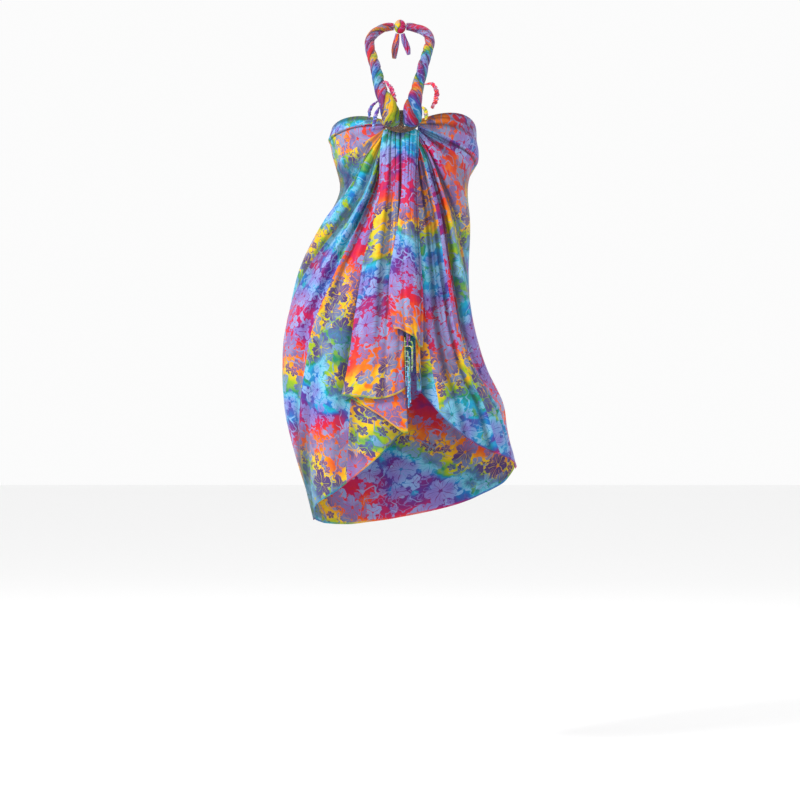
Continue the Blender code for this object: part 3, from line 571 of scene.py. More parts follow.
def spline_across(rays, steps):
    """Spline across the fold lines that never overshoots at a close turn."""
    count = len(rays)
    gaps = np.maximum(np.linalg.norm(np.diff(rays, axis=0), axis=2), 1e-6) ** 0.5
    knots = np.concatenate([np.zeros((1, gaps.shape[1])), np.cumsum(gaps, axis=0)])
    slopes = np.zeros_like(rays)
    for j in range(count):
        low = max(j - 1, 0)
        high = min(j + 1, count - 1)
        before = (rays[j] - rays[low]) / np.maximum(knots[j] - knots[low], 1e-9)[:, None]
        after = (rays[high] - rays[j]) / np.maximum(knots[high] - knots[j], 1e-9)[:, None]
        if low == j:
            slopes[j] = after
        elif high == j:
            slopes[j] = before
        else:
            wide_low = (knots[j] - knots[low])[:, None]
            wide_high = (knots[high] - knots[j])[:, None]
            slopes[j] = (before * wide_high + after * wide_low) / (wide_low + wide_high)
    rows = []
    for j in range(count - 1):
        span = (knots[j + 1] - knots[j])[:, None]
        for k in range(steps):
            rows.append(hermite(k / steps, span, rays[j], rays[j + 1], slopes[j], slopes[j + 1]))
    rows.append(rays[-1])
    return np.array(rows)


def eased(share):
    """Share held between 0 and 1, with a soft start and end."""
    share = np.clip(share, 0.0, 1.0)
    return share * share * (3 - 2 * share)


def window(t, start, end, rise, fall):
    """Soft rise after a start along a ray, and a soft fall before an end that lies on it."""
    falling = eased((end - t) / fall) if end < 1.0 else np.ones_like(t)
    return eased((t - start) / rise) * falling


def crease_window(t, start, end):
    """Rise and fall of a crease, each over the same share of its length."""
    soft = 0.35 * (end - start)
    return window(t, start, end, soft, soft)


def pleat_window(t, start, end):
    """Quick rise of a pleat below the gather, and its slow fall."""
    return window(t, start, end, 0.20, 0.30)


def ray_creases(creases, pleats, swells, count, steps, side):
    """Extra lift of the creases, gathers and hem flutter of one front."""
    place = np.arange(count)[:, None] / FOLD_STEPS
    t = np.linspace(0.0, 1.0, steps)[None, :]
    lift = np.zeros((count, steps))
    for across, start, end, wide, depth in creases:
        drift = 0.18 * np.sin(2.6 * t + across)
        bump = np.exp(-((place - across - drift) / wide) ** 2)
        lift += depth / 1000.0 * bump * crease_window(t, start, end)
    for across, start, end, before, after, depth in pleats:
        off = place - across
        slope = np.where(off < 0, np.exp(-np.abs(off) / before), np.exp(-(off / after) ** 2))
        lift += depth / 1000.0 * slope * pleat_window(t, start, end)
    for first, last, start, end, depth in swells:
        share = np.clip((place - first) / (last - first), 0.0, 1.0)
        lift += depth / 1000.0 * np.sin(math.pi * share) ** 1.2 * pleat_window(t, start, end)
    gather = np.exp(-((t - 0.09) / 0.15) ** 2)
    pleat = np.sin(7.3 * place + 0.9 * np.sin(2.1 * place)) + 0.6 * np.sin(12.7 * place + 1.3)
    lift += 0.0010 * gather * pleat
    slack = np.sin(1.9 * place + 5.2 * t + side) * np.sin(3.1 * t + 0.7 * place)
    lift += 0.0012 * slack * t * (1.2 - t)
    flutter = np.sin(4.1 * place + 0.8 * np.sin(1.7 * place))
    lift += 0.0011 * flutter * np.clip((t - HEM_FROM) / HEM_SPAN, 0, 1) ** 2
    return lift


def summed(steps):
    """Sum of the steps up to each place."""
    return np.concatenate([[0.0], np.cumsum(steps)])


def summed_back(steps):
    """Sum of the steps from each place to the end."""
    return np.concatenate([np.cumsum(steps[::-1], axis=0)[::-1], 0.0 * steps[:1]])


def ray_reach(points):
    """Length of cloth from the gather to every point of a front."""
    step = np.linalg.norm(np.diff(points, axis=1), axis=2)
    return np.concatenate([np.zeros((len(points), 1)), np.cumsum(step, axis=1)], axis=1)


def cloth_across(points, strips):
    """Place of both columns of every strip across the flat cloth, from the middle of its pleat."""
    k = MEASURE_STEP
    along = points[:-1, k + 1] - points[:-1, k]
    along /= np.linalg.norm(along, axis=1, keepdims=True)
    gap = points[1:, k] - points[:-1, k]
    gap = np.linalg.norm(gap - (gap * along).sum(axis=1, keepdims=True) * along, axis=1)
    t = np.linspace(0.0, 1.0, points.shape[1])
    widen = GATHER_SHARE + (1 - GATHER_SHARE) * t
    across = summed_back(gap) / widen[k]
    number = strip_of(strips, len(points))
    pairs = []
    for first in (0, 1):
        columns = np.arange(len(points) - 1) + first
        middle = np.array([across[:-1][number == n].mean() for n in number])
        pairs.append((across[columns] - middle)[:, None] * widen[None, :] + PLEAT_APART * number[:, None])
    return pairs


def strip_of(strips, count):
    """Number of the pleat that each strip between two columns lies on."""
    place = (np.arange(count - 1) + 0.5) / FOLD_STEPS
    starts = np.array([row[0] for row in strips])
    return np.searchsorted(starts, place, side="right") - 1


def strip_dye(row, reach):
    """Place on the dye along one pleat, in metres."""
    stops = np.array(row[1])
    return (np.interp(reach, stops[:, 0], stops[:, 1]) - DYE_START) * DYE_REPEAT


def strip_dyes(strips, reach, side_dye):
    """Place on the dye at both columns of every strip, eased to the back's at the side line."""
    number = strip_of(strips, len(reach))
    corner = (SIDE_ROWS - 1) * FOLD_STEPS
    t = np.linspace(0.0, 1.0, reach.shape[1])
    ease = np.clip((t - HEM_FROM) / HEM_SPAN, 0.0, 1.0) ** 2
    pairs = []
    for first in (0, 1):
        rows = []
        for i in range(len(reach) - 1):
            c = i + first
            own = strip_dye(strips[number[i]], reach[c])
            if i < corner:
                back = side_dye[c] + (reach[c] - reach[c, -1]) * BACK_DYE_RUN
                own = own * (1 - ease) + back * ease
            rows.append(own)
        pairs.append(np.array(rows))
    return pairs


def side_dyes(points, strips, reach):
    """Place on the dye down the side line, from the top to the hem corner."""
    corner = (SIDE_ROWS - 1) * FOLD_STEPS
    row = strips[strip_of(strips, len(points))[corner - 1]]
    foot = strip_dye(row, reach[corner, -1])
    step = np.linalg.norm(np.diff(points[:corner + 1, -1], axis=0), axis=1)
    return foot - SIDE_DYE_RUN * summed_back(step)


def front_surface(table, creases, pleats, swells, side):
    """Middle surface and side edge of one front."""
    rays = fold_rays(table, RAY_STEPS)
    grid = spline_across(rays, FOLD_STEPS)
    extra = ray_creases(creases, pleats, swells, len(grid), RAY_STEPS, side)
    angle = np.clip(grid[:, :, 0] / ARC_PER_DEGREE, -SIDE_ANGLE, SIDE_ANGLE)
    last = (SIDE_ROWS - 1) * FOLD_STEPS
    angle[:last + 1, -1] = side * SIDE_ANGLE
    turned = fold_facing(rays)
    lift = grid[:, :, 2] + extra * turned
    points = on_form(angle, grid[:, :, 1], lift)
    seam = np.stack([grid[:last + 1, -1, 1], lift[:last + 1, -1]], axis=1)
    return points, seam


def fold_facing(rays):
    """Share of a crease at each column: none on the turns of the big folds."""
    count = (len(rays) - 1) * FOLD_STEPS + 1
    place = np.arange(count)[:, None] / FOLD_STEPS
    share = np.ones((count, 1))
    for j in range(1, len(rays) - 1):
        before = rays[j, -1, 0] - rays[j - 1, -1, 0]
        after = rays[j + 1, -1, 0] - rays[j, -1, 0]
        if before * after < 0 and abs(before) < 0.012 and abs(after) < 0.012:
            share *= np.clip((np.abs(place - j) - 0.8) / 1.2, 0.0, 1.0)
    return share


def back_surface(left_seam, right_seam):
    """Middle surface of the back with its folds and creases."""
    rows = len(left_seam)
    s = np.linspace(0.0, 1.0, BACK_COLUMNS)[None, :]
    angle = -SIDE_ANGLE - s * (360.0 - 2 * SIDE_ANGLE) + np.zeros((rows, 1))
    height = left_seam[:, :1] * (1 - s) + right_seam[:, :1] * s
    drop = (height - height[:1]) / (height[-1:] - height[:1])
    sag = BACK_TOP_SAG * (1 - drop) + BACK_HEM_SAG * drop
    height = height + sag * np.sin(math.pi * s) ** 0.8
    lift = np.zeros_like(height)
    for centre, wide, top, hem in BACK_FOLDS:
        bump = np.exp(-((-angle - centre) / wide) ** 2)
        lift = lift + bump * (top * (1 - drop) + hem * drop) / 1000.0
    for centre, wide, start, end, depth in BACK_CREASES:
        lean = 4.0 * np.sin(2.2 * drop + centre)
        bump = np.exp(-((-angle - centre - lean) / wide) ** 2)
        lift = lift + depth / 1000.0 * bump * crease_window(drop, start, end)
    near_left = np.clip(1 - s / 0.16, 0, 1) ** 2
    near_right = np.clip(1 - (1 - s) / 0.16, 0, 1) ** 2
    lift = lift * (1 - near_left) * (1 - near_right)
    lift = lift + left_seam[:, 1:] * near_left + right_seam[:, 1:] * near_right
    return on_form(angle, height, lift)


def painted_hollow_shade(points, reach):
    """How far each place lies in the hollow of a fold, from 0 to 1, which sets the painted shade there."""
    out = np.hypot(points[..., 0], points[..., 1] - AXIS_Y)
    number = np.arange(len(points))
    low = np.clip(number - reach, 0, len(points) - 1)
    high = np.clip(number + reach, 0, len(points) - 1)
    middle = 0.5 * (out[low] + out[high])
    span = np.linalg.norm(points[high] - points[low], axis=2)
    return np.clip(1.2 * (middle - out) / (0.10 * span + 0.0005) - 0.2, 0.0, 1.0)


def quads(rows, columns):
    """Four corners of every face of a grid of points."""
    for i in range(rows - 1):
        for j in range(columns - 1):
            yield (i, j), (i + 1, j), (i + 1, j + 1), (i, j + 1)


def wrap_mesh():
    """One sheet of cloth from the left short edge round the back to the right one."""
    left, left_seam = front_surface(LEFT_FOLDS, LEFT_CREASES, LEFT_PLEATS, LEFT_SWELLS, -1)
    right, right_seam = front_surface(RIGHT_FOLDS, RIGHT_CREASES, RIGHT_PLEATS, RIGHT_SWELLS, 1)
    back = back_surface(left_seam, right_seam)
    rows = slice(0, (SIDE_ROWS - 1) * FOLD_STEPS + 1)
    verts = []
    faces = []
    corners = []

    def add_points(points):
        start = len(verts)
        verts.extend(points.reshape(-1, 3))
        return start + np.arange(points.shape[0] * points.shape[1]).reshape(points.shape[:2])

    def add_face(places, flip):
        if flip:
            places.reverse()
        faces.append(tuple(number for number, place in places))
        corners.extend(place for number, place in places)

    sides = []
    for points, strips, flip in ((left, LEFT_STRIPS, False), (right, RIGHT_STRIPS, True)):
        ids = add_points(points)
        reach = ray_reach(points)
        across = cloth_across(points, strips)
        side_dye = side_dyes(points, strips, reach)
        dyes = strip_dyes(strips, reach, side_dye)
        # Painted shade: how deep each place lies in a hollow of the folds, which darkens the cloth's colour
        # there
        painted_shade = np.maximum(painted_hollow_shade(points, 3), painted_hollow_shade(points, 7))
        hem = reach[:, -1:] - reach
        hem[:rows.stop - 1] = NO_HEM
        start = RIGHT_CLOTH_START if flip else 0.0
        for face in quads(*ids.shape):
            i = face[0][0]
            places = []
            for a, c in face:
                place = (across[a - i][i, c] + start, reach[a, c], dyes[a - i][i, c], hem[a, c],
                         painted_shade[a, c])
                places.append((int(ids[a, c]), place))
            add_face(places, flip)
        sides.append((ids, side_dye))
    inner = add_points(back[:, 1:-1])
    left_ids, left_dye = sides[0]
    right_ids, right_dye = sides[1]
    ids = np.concatenate([left_ids[rows, -1][:, None], inner, right_ids[rows, -1][:, None]], axis=1)
    step = np.linalg.norm(np.diff(back, axis=1), axis=2).mean(axis=0)
    round_back = BACK_CLOTH_START + summed(step)
    up = summed_back(np.linalg.norm(np.diff(back, axis=0), axis=2))
    s = np.linspace(0.0, 1.0, BACK_COLUMNS)[None, :]
    dye = left_dye[:, None] * (1 - s) + right_dye[:, None] * s + BACK_DYE_SHIFT * np.sin(math.pi * s) ** 0.7
    for face in quads(*ids.shape):
        places = []
        for a, c in face:
            place = (round_back[c], BACK_CLOTH_HEM - up[a, c], dye[a, c], up[a, c], 0.0)
            places.append((int(ids[a, c]), place))
        add_face(places, False)
    return np.array(verts), faces, np.array(corners), left, right


def linked(name, data):
    """New object of a mesh, lamp or camera, put in the scene."""
    ob = bpy.data.objects.new(name, data)
    bpy.context.collection.objects.link(ob)
    return ob


def new_mesh_piece(name, verts, faces):
    """New object of a mesh, smooth all over."""
    mesh = bpy.data.meshes.new(name)
    mesh.from_pydata([tuple(map(float, v)) for v in verts], [], faces)
    mesh.update()
    mesh.polygons.foreach_set("use_smooth", [True] * len(mesh.polygons))
    return linked(name, mesh)


def add_uv(ob, name, values):
    """UV map from one value pair for each vertex."""
    layer = ob.data.uv_layers.new(name=name)
    corner = np.zeros(len(ob.data.loops), dtype=np.int32)
    ob.data.loops.foreach_get("vertex_index", corner)
    layer.data.foreach_set("uv", np.asarray(values, float)[corner].reshape(-1))


def add_painted_fold_shade(ob, values):
    """UV map of a tube or knot that tells how far each place lies in a fold, which sets the painted shade
    there.
    """
    deep = with_tips(values)
    add_uv(ob, "fold", np.stack([deep, 0 * deep], axis=1))


def add_maps(ob, u, v, dye, deep):
    """Cloth and dye maps of a closed piece, and its map of painted shade in the hollows of folds, from the
    values of its rings.
    """
    u, v, dye = (with_tips(values) for values in (u, v, dye))
    add_uv(ob, "cloth", np.stack([u, v], axis=1))
    add_uv(ob, "dye", np.stack([dye, NO_HEM + 0 * dye], axis=1))
    add_painted_fold_shade(ob, deep)


def select_only(ob):
    """Make one piece the only one selected, and the active one."""
    bpy.ops.object.select_all(action="DESELECT")
    ob.select_set(True)
    bpy.context.view_layer.objects.active = ob


def apply_modifiers(ob):
    """Apply every modifier of a piece."""
    select_only(ob)
    for modifier in list(ob.modifiers):
        bpy.ops.object.modifier_apply(modifier=modifier.name)


def make_wrap(material):
    """The wrapped cloth, a thin shell on its solids' form."""
    verts, faces, corners, left, right = wrap_mesh()
    ob = new_mesh_piece("wrap_cloth", verts, faces)
    deep = corners[:, 4]
    # The fifth value of each corner goes to the "fold" map, the painted shade in the hollows of folds
    for name, values in (("cloth", corners[:, :2]), ("dye", corners[:, 2:4]),
                         ("fold", np.stack([deep, 0 * deep], axis=1))):
        layer = ob.data.uv_layers.new(name=name)
        layer.data.foreach_set("uv", values.reshape(-1))
    bm = bmesh.new()
    bm.from_mesh(ob.data)
    outward = 0.0
    for face in bm.faces:
        middle = face.calc_center_median()
        if abs(middle.x) > 0.10:
            outward += face.normal.x * math.copysign(1.0, middle.x) * face.calc_area()
    if outward < 0:
        bmesh.ops.reverse_faces(bm, faces=bm.faces[:])
    bm.to_mesh(ob.data)
    bm.free()
    wall = ob.modifiers.new("thickness", "SOLIDIFY")
    wall.thickness = CLOTH_THICK
    wall.offset = 0.0
    apply_modifiers(ob)
    ob.data.materials.append(material)
    return ob, left, right


def row_points(rows):
    """Rows of x, depth, height and radius in mm as places in the part."""
    table = []
    for x, depth, height, radius in rows:
        table.append((x / 1000.0, AXIS_Y - depth / 1000.0, height / 1000.0, radius / 1000.0))
    return np.array(table)


def path_points(table, steps):
    """Smooth path and radius through the rows of a table."""
    marks = path_length(table[:, :3])
    named = [tuple([mark]) + tuple(row) for mark, row in zip(marks, table)]
    at = np.linspace(0.0, marks[-1], steps)
    return np.stack([smooth_table(named, at, k) for k in range(1, 5)], axis=1)


def path_frames(points):
    """Two directions across a path that don't spin."""
    tangents = np.gradient(points, axis=0)
    tangents /= np.linalg.norm(tangents, axis=1, keepdims=True)
    normal = np.cross(tangents[0], (0.0, 1.0, 0.3))
    normal /= np.linalg.norm(normal)
    normals = []
    others = []
    for tangent in tangents:
        normal = normal - np.dot(normal, tangent) * tangent
        normal /= np.linalg.norm(normal)
        normals.append(normal)
        others.append(np.cross(tangent, normal))
    return np.array(normals), np.array(others)


def path_length(points):
    """Length along a path up to each of its points."""
    return summed(np.linalg.norm(np.diff(points, axis=0), axis=1))


def ring_angles(sides):
    """Angles of the points round a tube, in one row."""
    return 2 * math.pi * np.arange(sides)[None, :] / sides


def tube_faces(steps, sides, start):
    """Faces of a closed tube, with a fan over each end, whose two tips come last."""
    faces = []
    for a in range(steps - 1):
        for b in range(sides):
            n = (b + 1) % sides
            row = start + a * sides
            faces.append((row + b, row + n, row + sides + n, row + sides + b))
    tip = start + steps * sides
    last = start + (steps - 1) * sides
    for b in range(sides):
        n = (b + 1) % sides
        faces.append((tip, start + n, start + b))
        faces.append((tip + 1, last + b, last + n))
    return faces


def tube_points(path, shape):
    """Points round a path, shaped by a share of its radius, with the two tips last."""
    normals, others = path_frames(path[:, :3])
    sides = shape.shape[1]
    angle = ring_angles(sides)[..., None]
    size = (path[:, 3][:, None] * shape)[..., None]
    ring = path[:, None, :3] + size * (np.cos(angle) * normals[:, None] + np.sin(angle) * others[:, None])
    tips = np.stack([ring[0].mean(axis=0), ring[-1].mean(axis=0)])
    return np.concatenate([ring.reshape(-1, 3), tips])


def with_tips(values):
    """Values of a tube's rings, with those of its two tips added."""
    flat = np.asarray(values, float)
    return np.concatenate([flat.reshape(-1), [flat[0].mean(), flat[-1].mean()]])


def strap_piece(name, rows, turns, seed, bands, material):
    """Strap of cloth twisted tight: wide folds wound round each other, uneven in width and depth."""
    steps = 340
    sides = 72
    path = path_points(row_points(rows), steps)
    along = path_length(path[:, :3])[:, None]
    angle = ring_angles(sides)
    part = np.linspace(0.0, 1.0, steps)[:, None]
    twist = 2 * math.pi * turns * part + 0.50 * np.sin(31.0 * along + seed)
    roll = angle - twist
    fold = 1.5 * roll / math.pi + 0.16 * np.sin(21.0 * along + seed)
    number = np.mod(np.floor(fold), 3)
    inside = fold - np.floor(fold)
    swell = np.sin(math.pi * np.clip(inside, 0.0, 1.0)) ** 0.45
    lean = 0.10 * (inside - 0.5)
    shape = 0.78 + 0.19 * swell + lean
    second = np.abs(np.sin(4.5 * roll + 1.3 * np.sin(17.0 * along + 2 * seed)))
    shape = shape - 0.070 * np.exp(-(second / 0.20) ** 2) * swell
    fine = np.abs(np.sin(10.5 * roll + 2.0 * np.sin(23.0 * along + 3 * seed)))
    shape = shape - 0.034 * np.exp(-(fine / 0.26) ** 2)
    shape = shape + 0.030 * np.sin(53.0 * along + 2.0 * number + seed)
    shape = np.minimum(shape, 1.0)
    points = np.array(tube_points(path, shape), float)
    away = np.hypot(points[:, 0] - path[0, 0], points[:, 2] - path[0, 2])
    low = (points[:, 2] < STRAP_LOW) & (away > HOLE_REACH)
    front = np.minimum(points[:, 1], PLATE_FRONT - PLATE_LEAN * (away - HOLE_REACH))
    points[:, 1] = np.where(low, front, points[:, 1])
    middle = np.array([rows[3][0] / 1000.0, STRAP_FOOT_FROM])
    off = points[:, (0, 2)] - middle
    size = np.maximum(np.hypot(off[:, 0], off[:, 1]), 1e-6)
    square = ((np.abs(off) / size[:, None]) ** 5).sum(axis=1) ** -0.2
    foot = (off[:, 1] < 0) & (points[:, 1] < PLATE_FRONT + 0.0001)
    points[:, 0] = np.where(foot, middle[0] + off[:, 0] * square, points[:, 0])
    points[:, 2] = np.where(foot, middle[1] + off[:, 1] * square, points[:, 2])
    ob = new_mesh_piece(name, points, tube_faces(steps, sides, 0))
    offset = np.array(STRAP_FOLD_DYES)[number.astype(int)]
    u = 0.31 * number + 0.045 * inside
    v = 1.15 * along + 0.21 * number
    places = np.array(bands)
    dye = np.interp(along, places[:, 0], places[:, 1]) + offset + 0.014 * inside
    strap_uv(ob, steps, sides, np.stack([u, v, dye], axis=-1))
    # Painted shade in the grooves between the wound folds of the strap
    deep = np.clip(1.25 - swell, 0.0, 1.0) + 0.6 * np.exp(-(second / 0.20) ** 2) * swell
    add_painted_fold_shade(ob, np.clip(deep, 0.0, 1.0))
    return finished(ob, material)


def strap_uv(ob, steps, sides, values):
    """Cloth and dye places of a strap, the same over each face so that folds keep crisp edges."""
    mesh = ob.data
    cloth = mesh.uv_layers.new(name="cloth")
    dye = mesh.uv_layers.new(name="dye")
    for face in mesh.polygons:
        first = min(mesh.loops[k].vertex_index for k in face.loop_indices)
        ring = min(first // sides, steps - 2)
        column = first % sides
        for k in face.loop_indices:
            vertex = mesh.loops[k].vertex_index
            a = min(vertex // sides, steps - 1)
            near = values[a, vertex % sides] if vertex < steps * sides else values[ring, column]
            own = values[ring, column]
            if abs(near[0] - own[0]) > 0.15:
                near = (own[0] + 0.006, own[1] + 1.15 * 0.001 * (a - ring), own[2])
            cloth.data[k].uv = (near[0], near[1])
            dye.data[k].uv = (near[2], NO_HEM)


def recalculate(ob):
    """Turn every face of a closed mesh outwards."""
    bm = bmesh.new()
    bm.from_mesh(ob.data)
    bmesh.ops.recalc_face_normals(bm, faces=bm.faces[:])
    bm.to_mesh(ob.data)
    bm.free()


def finished(ob, material):
    """A closed piece with its material, all its faces turned outwards."""
    ob.data.materials.append(material)
    recalculate(ob)
    return ob


def yarn_strand(path, turns, plies, dye_at, dye_span, head):
    """Twisted strand along a path: its points, faces, and places on cloth and dye."""
    steps = len(path)
    sides = 12
    part = np.linspace(0.0, 1.0, steps)[:, None]
    angle = ring_angles(sides)
    roll = angle - 2 * math.pi * turns * part
    shape = 0.74 + 0.26 * np.abs(np.cos(0.5 * plies * roll))
    if head:
        shape = shape * (1.0 + 0.35 * np.exp(-((part - head) / 0.045) ** 2))
        shape = shape * (1.0 - 0.30 * np.exp(-((part - head - 0.09) / 0.035) ** 2))
    points = tube_points(path, shape)
    length = path_length(path[:, :3])[:, None]
    dye = dye_at + dye_span * part + 0.006 * np.cos(roll)
    cloth = np.stack([with_tips(0.004 * np.cos(roll) + 0 * part), with_tips(length + 0 * roll)], axis=1)
    return points, cloth, with_tips(dye), steps, sides


def yarn_piece(name, strands, material):
    """One piece of several strands."""
    verts = []
    faces = []
    cloth = []
    dye = []
    for points, flat, tint, steps, sides in strands:
        faces += tube_faces(steps, sides, len(verts))
        verts += list(points)
        cloth += list(flat)
        dye += list(tint)
    ob = new_mesh_piece(name, verts, faces)
    add_uv(ob, "cloth", np.array(cloth))
    add_uv(ob, "dye", np.stack([np.array(dye), np.zeros(len(dye))], axis=1))
    return finished(ob, material)


def strap_tassel(name, carrier, rows, dye, material):
    """Fringe tassel of three wound strands that stands out of a twisted strap."""
    table = row_points(rows)
    mesh = carrier.data
    places = [v.co for v in mesh.vertices]
    tree = BVHTree.FromPolygons(places, [list(face.vertices) for face in mesh.polygons])
    spot = tree.find_nearest(Vector(table[0, :3]))[0]
    out = (Vector(table[0, :3]) - spot).normalized()
    start = table[:1].copy()
    start[0, :3] = spot - out * SEAT_SUNK
    table[0, :3] = spot + out * SEAT_REACH
    path = path_points(np.concatenate([start, table]), 90)
    normals, others = path_frames(path[:, :3])
    part = np.linspace(0.0, 1.0, len(path))[:, None]
    strands = []
    for number, (share, turns) in enumerate(((0.66, 3.4), (0.60, 3.4), (0.50, 3.4))):
        wind = 2 * math.pi * (turns * part + number / 3.0) + 0.7 * np.sin(9.0 * part + number)
        away = 0.62 * path[:, 3:] * np.clip(part / 0.12, 0.0, 1.0)
        strand = path.copy()
        strand[:, :3] += away * (np.cos(wind) * normals + np.sin(wind) * others)
        strand[:, 3] *= share
        strands.append(yarn_strand(strand, 6.0 + number, 2, dye[0] + 0.5 * number * dye[1], dye[1], 0.0))
    return yarn_piece(name, strands, material)


def along_edge(values, marks):
    """Values of an edge at places between its points."""
    at = np.arange(len(values))
    return np.stack([np.interp(marks, at, values[:, k]) for k in range(3)], axis=1)


def fringe_piece(name, grid, tassels, start, dyes, material):
    """Twisted header along a short edge, with its hanging tassels."""
    marks = np.linspace(start, 0.99, 2 * len(tassels) + 2) * (grid.shape[1] - 1)
    edge = along_edge(grid[-1], marks)
    inward = along_edge(grid[-6], marks) - edge
    inward /= np.linalg.norm(inward, axis=1, keepdims=True)
    header = np.concatenate([edge - 0.0012 * inward, np.full((len(edge), 1), 0.0011)], axis=1)
    strands = [yarn_strand(path_points(header, 140), 24.0, 2, dyes[0][0], dyes[-1][0] - dyes[0][0], 0.0)]
    for number, (reach, turn) in enumerate(tassels):
        k = 2 * number + 1
        root = (edge[k] + edge[k + 1]) / 2
        away = -(inward[k] + inward[k + 1]) / 2
        swing = math.radians(turn)
        level = np.array((math.cos(swing), -math.sin(swing), 0.0))
        base = root + away * FRINGE_STRIP_WIDE
        sway = np.array((math.sin(2.4 * number), 0.5 * math.cos(1.7 * number), 0.0)) * 0.0010
        rows = [(root + away * 0.0008, 0.0009)]
        for share, low, size in FRINGE_PATH:
            centre = base + level * share * reach / 1000.0 + np.array((0.0, 0.0, -low * TASSEL_LONG))
            rows.append((centre + sway * math.sin(3.0 * low), size))
        table = np.array([tuple(place) + (size,) for place, size in rows])
        dye = dyes[min(number, len(dyes) - 1)]
        strands.append(yarn_strand(path_points(table, 64), 8.0 + number % 3, 3, dye[0], dye[1], 0.24))
    return yarn_piece(name, strands, material)


def knot_piece(material):
    """Knot at the nape: cloth wound round and pulled tight."""
    rows = 72
    sides = 96
    tilt = math.pi * np.arange(1, rows)[:, None] / rows
    angle = ring_angles(sides)
    wind = 2.0 * angle + 1.3 * np.cos(tilt) + 0.5 * np.sin(3 * tilt)
    groove = np.exp(-(np.abs(np.sin(0.5 * wind + 1.1 * tilt)) / 0.17) ** 2)
    fine = np.exp(-(np.abs(np.sin(3.0 * tilt + 1.5 * np.sin(angle) + 0.6)) / 0.22) ** 2)
    share = 0.97 - 0.13 * groove * np.sin(tilt) - 0.05 * fine * np.sin(tilt)
    x = KNOT_WIDE * np.sin(tilt) * np.cos(angle) * share
    y = KNOT_CENTRE_Y + KNOT_DEEP * np.sin(tilt) * np.sin(angle) * share
    z = KNOT_TALL * np.cos(tilt) * share + 0 * angle
    verts = list(np.stack([x, y, z], axis=-1).reshape(-1, 3))
    faces = []
    for i in range(rows - 2):
        for j in range(sides):
            n = (j + 1) % sides
            faces.append((i * sides + j, (i + 1) * sides + j, (i + 1) * sides + n, i * sides + n))
    verts += [(0.0, KNOT_CENTRE_Y, 0.97 * KNOT_TALL), (0.0, KNOT_CENTRE_Y, -0.97 * KNOT_TALL)]
    top = (rows - 1) * sides
    for j in range(sides):
        n = (j + 1) % sides
        faces.append((top, j, n))
        faces.append((top + 1, (rows - 2) * sides + n, (rows - 2) * sides + j))
    ob = new_mesh_piece("nape_knot", verts, faces)
    u = 0.020 * np.sin(angle) + 0.10 * np.floor((0.5 * wind + 1.1 * tilt) / math.pi)
    v = 0.30 + 0.016 * tilt + 0 * angle
    dye = 0.12 + 0.06 * np.sin(2.1 * np.floor((0.5 * wind + 1.1 * tilt) / math.pi)) + 0.01 * tilt
    # The grooves of the knot also carry painted shade
    add_maps(ob, u, v, dye, groove)
    return finished(ob, material)


def tail_piece(name, rows, seed, dye_at, material):
    """End of the cloth that hangs from the knot, gathered at its top."""
    steps = 60
    sides = 60
    path = path_points(row_points(rows), steps)
    along = path_length(path[:, :3])[:, None]
    part = np.linspace(0.0, 1.0, steps)[:, None]
    angle = ring_angles(sides)
    roll = angle - 1.1 * part + 0.2 * np.sin(60.0 * along + seed)
    groove = np.exp(-(np.abs(np.sin(2.5 * roll + seed)) / 0.26) ** 2)
    fine = np.exp(-(np.abs(np.sin(5.5 * roll + 2 * seed + 1.3 * part)) / 0.3) ** 2)
    shape = 0.98 - 0.30 * groove * (0.5 + 0.5 * part) - 0.10 * fine
    ob = new_mesh_piece(name, tube_points(path, shape), tube_faces(steps, sides, 0))
    u = seed + 0.034 * roll
    v = 0.9 + along + 0 * roll
    dye = dye_at + along + 0.010 * np.sin(roll)
    # The grooves of the tail also carry painted shade
    add_maps(ob, u, v, dye, groove)
    return finished(ob, material)


def buckle_piece(material):
    """Buckle of coconut shell: its plate copied, with rounded edges."""
    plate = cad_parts["buckle"]
    mesh = plate.data.copy()
    mesh.materials.clear()
    ob = linked("coconut_buckle", mesh)
    select_only(ob)
    bpy.ops.object.mode_set(mode="EDIT")
    bpy.ops.mesh.select_all(action="SELECT")
    bpy.ops.mesh.remove_doubles(threshold=0.00001)
    bpy.ops.mesh.tris_convert_to_quads(face_threshold=0.6, shape_threshold=1.2)
    bpy.ops.mesh.normals_make_consistent(inside=False)
    bpy.ops.object.mode_set(mode="OBJECT")
    edge = ob.modifiers.new("rounded_edge", "BEVEL")
    edge.width = 0.0009
    edge.segments = 2
    edge.limit_method = "ANGLE"
    edge.angle_limit = math.radians(50)
    smooth = ob.modifiers.new("smooth", "SUBSURF")
    smooth.levels = 2
    smooth.render_levels = 2
    apply_modifiers(ob)
    mesh.polygons.foreach_set("use_smooth", [True] * len(mesh.polygons))
    mesh.materials.append(material)
    return ob


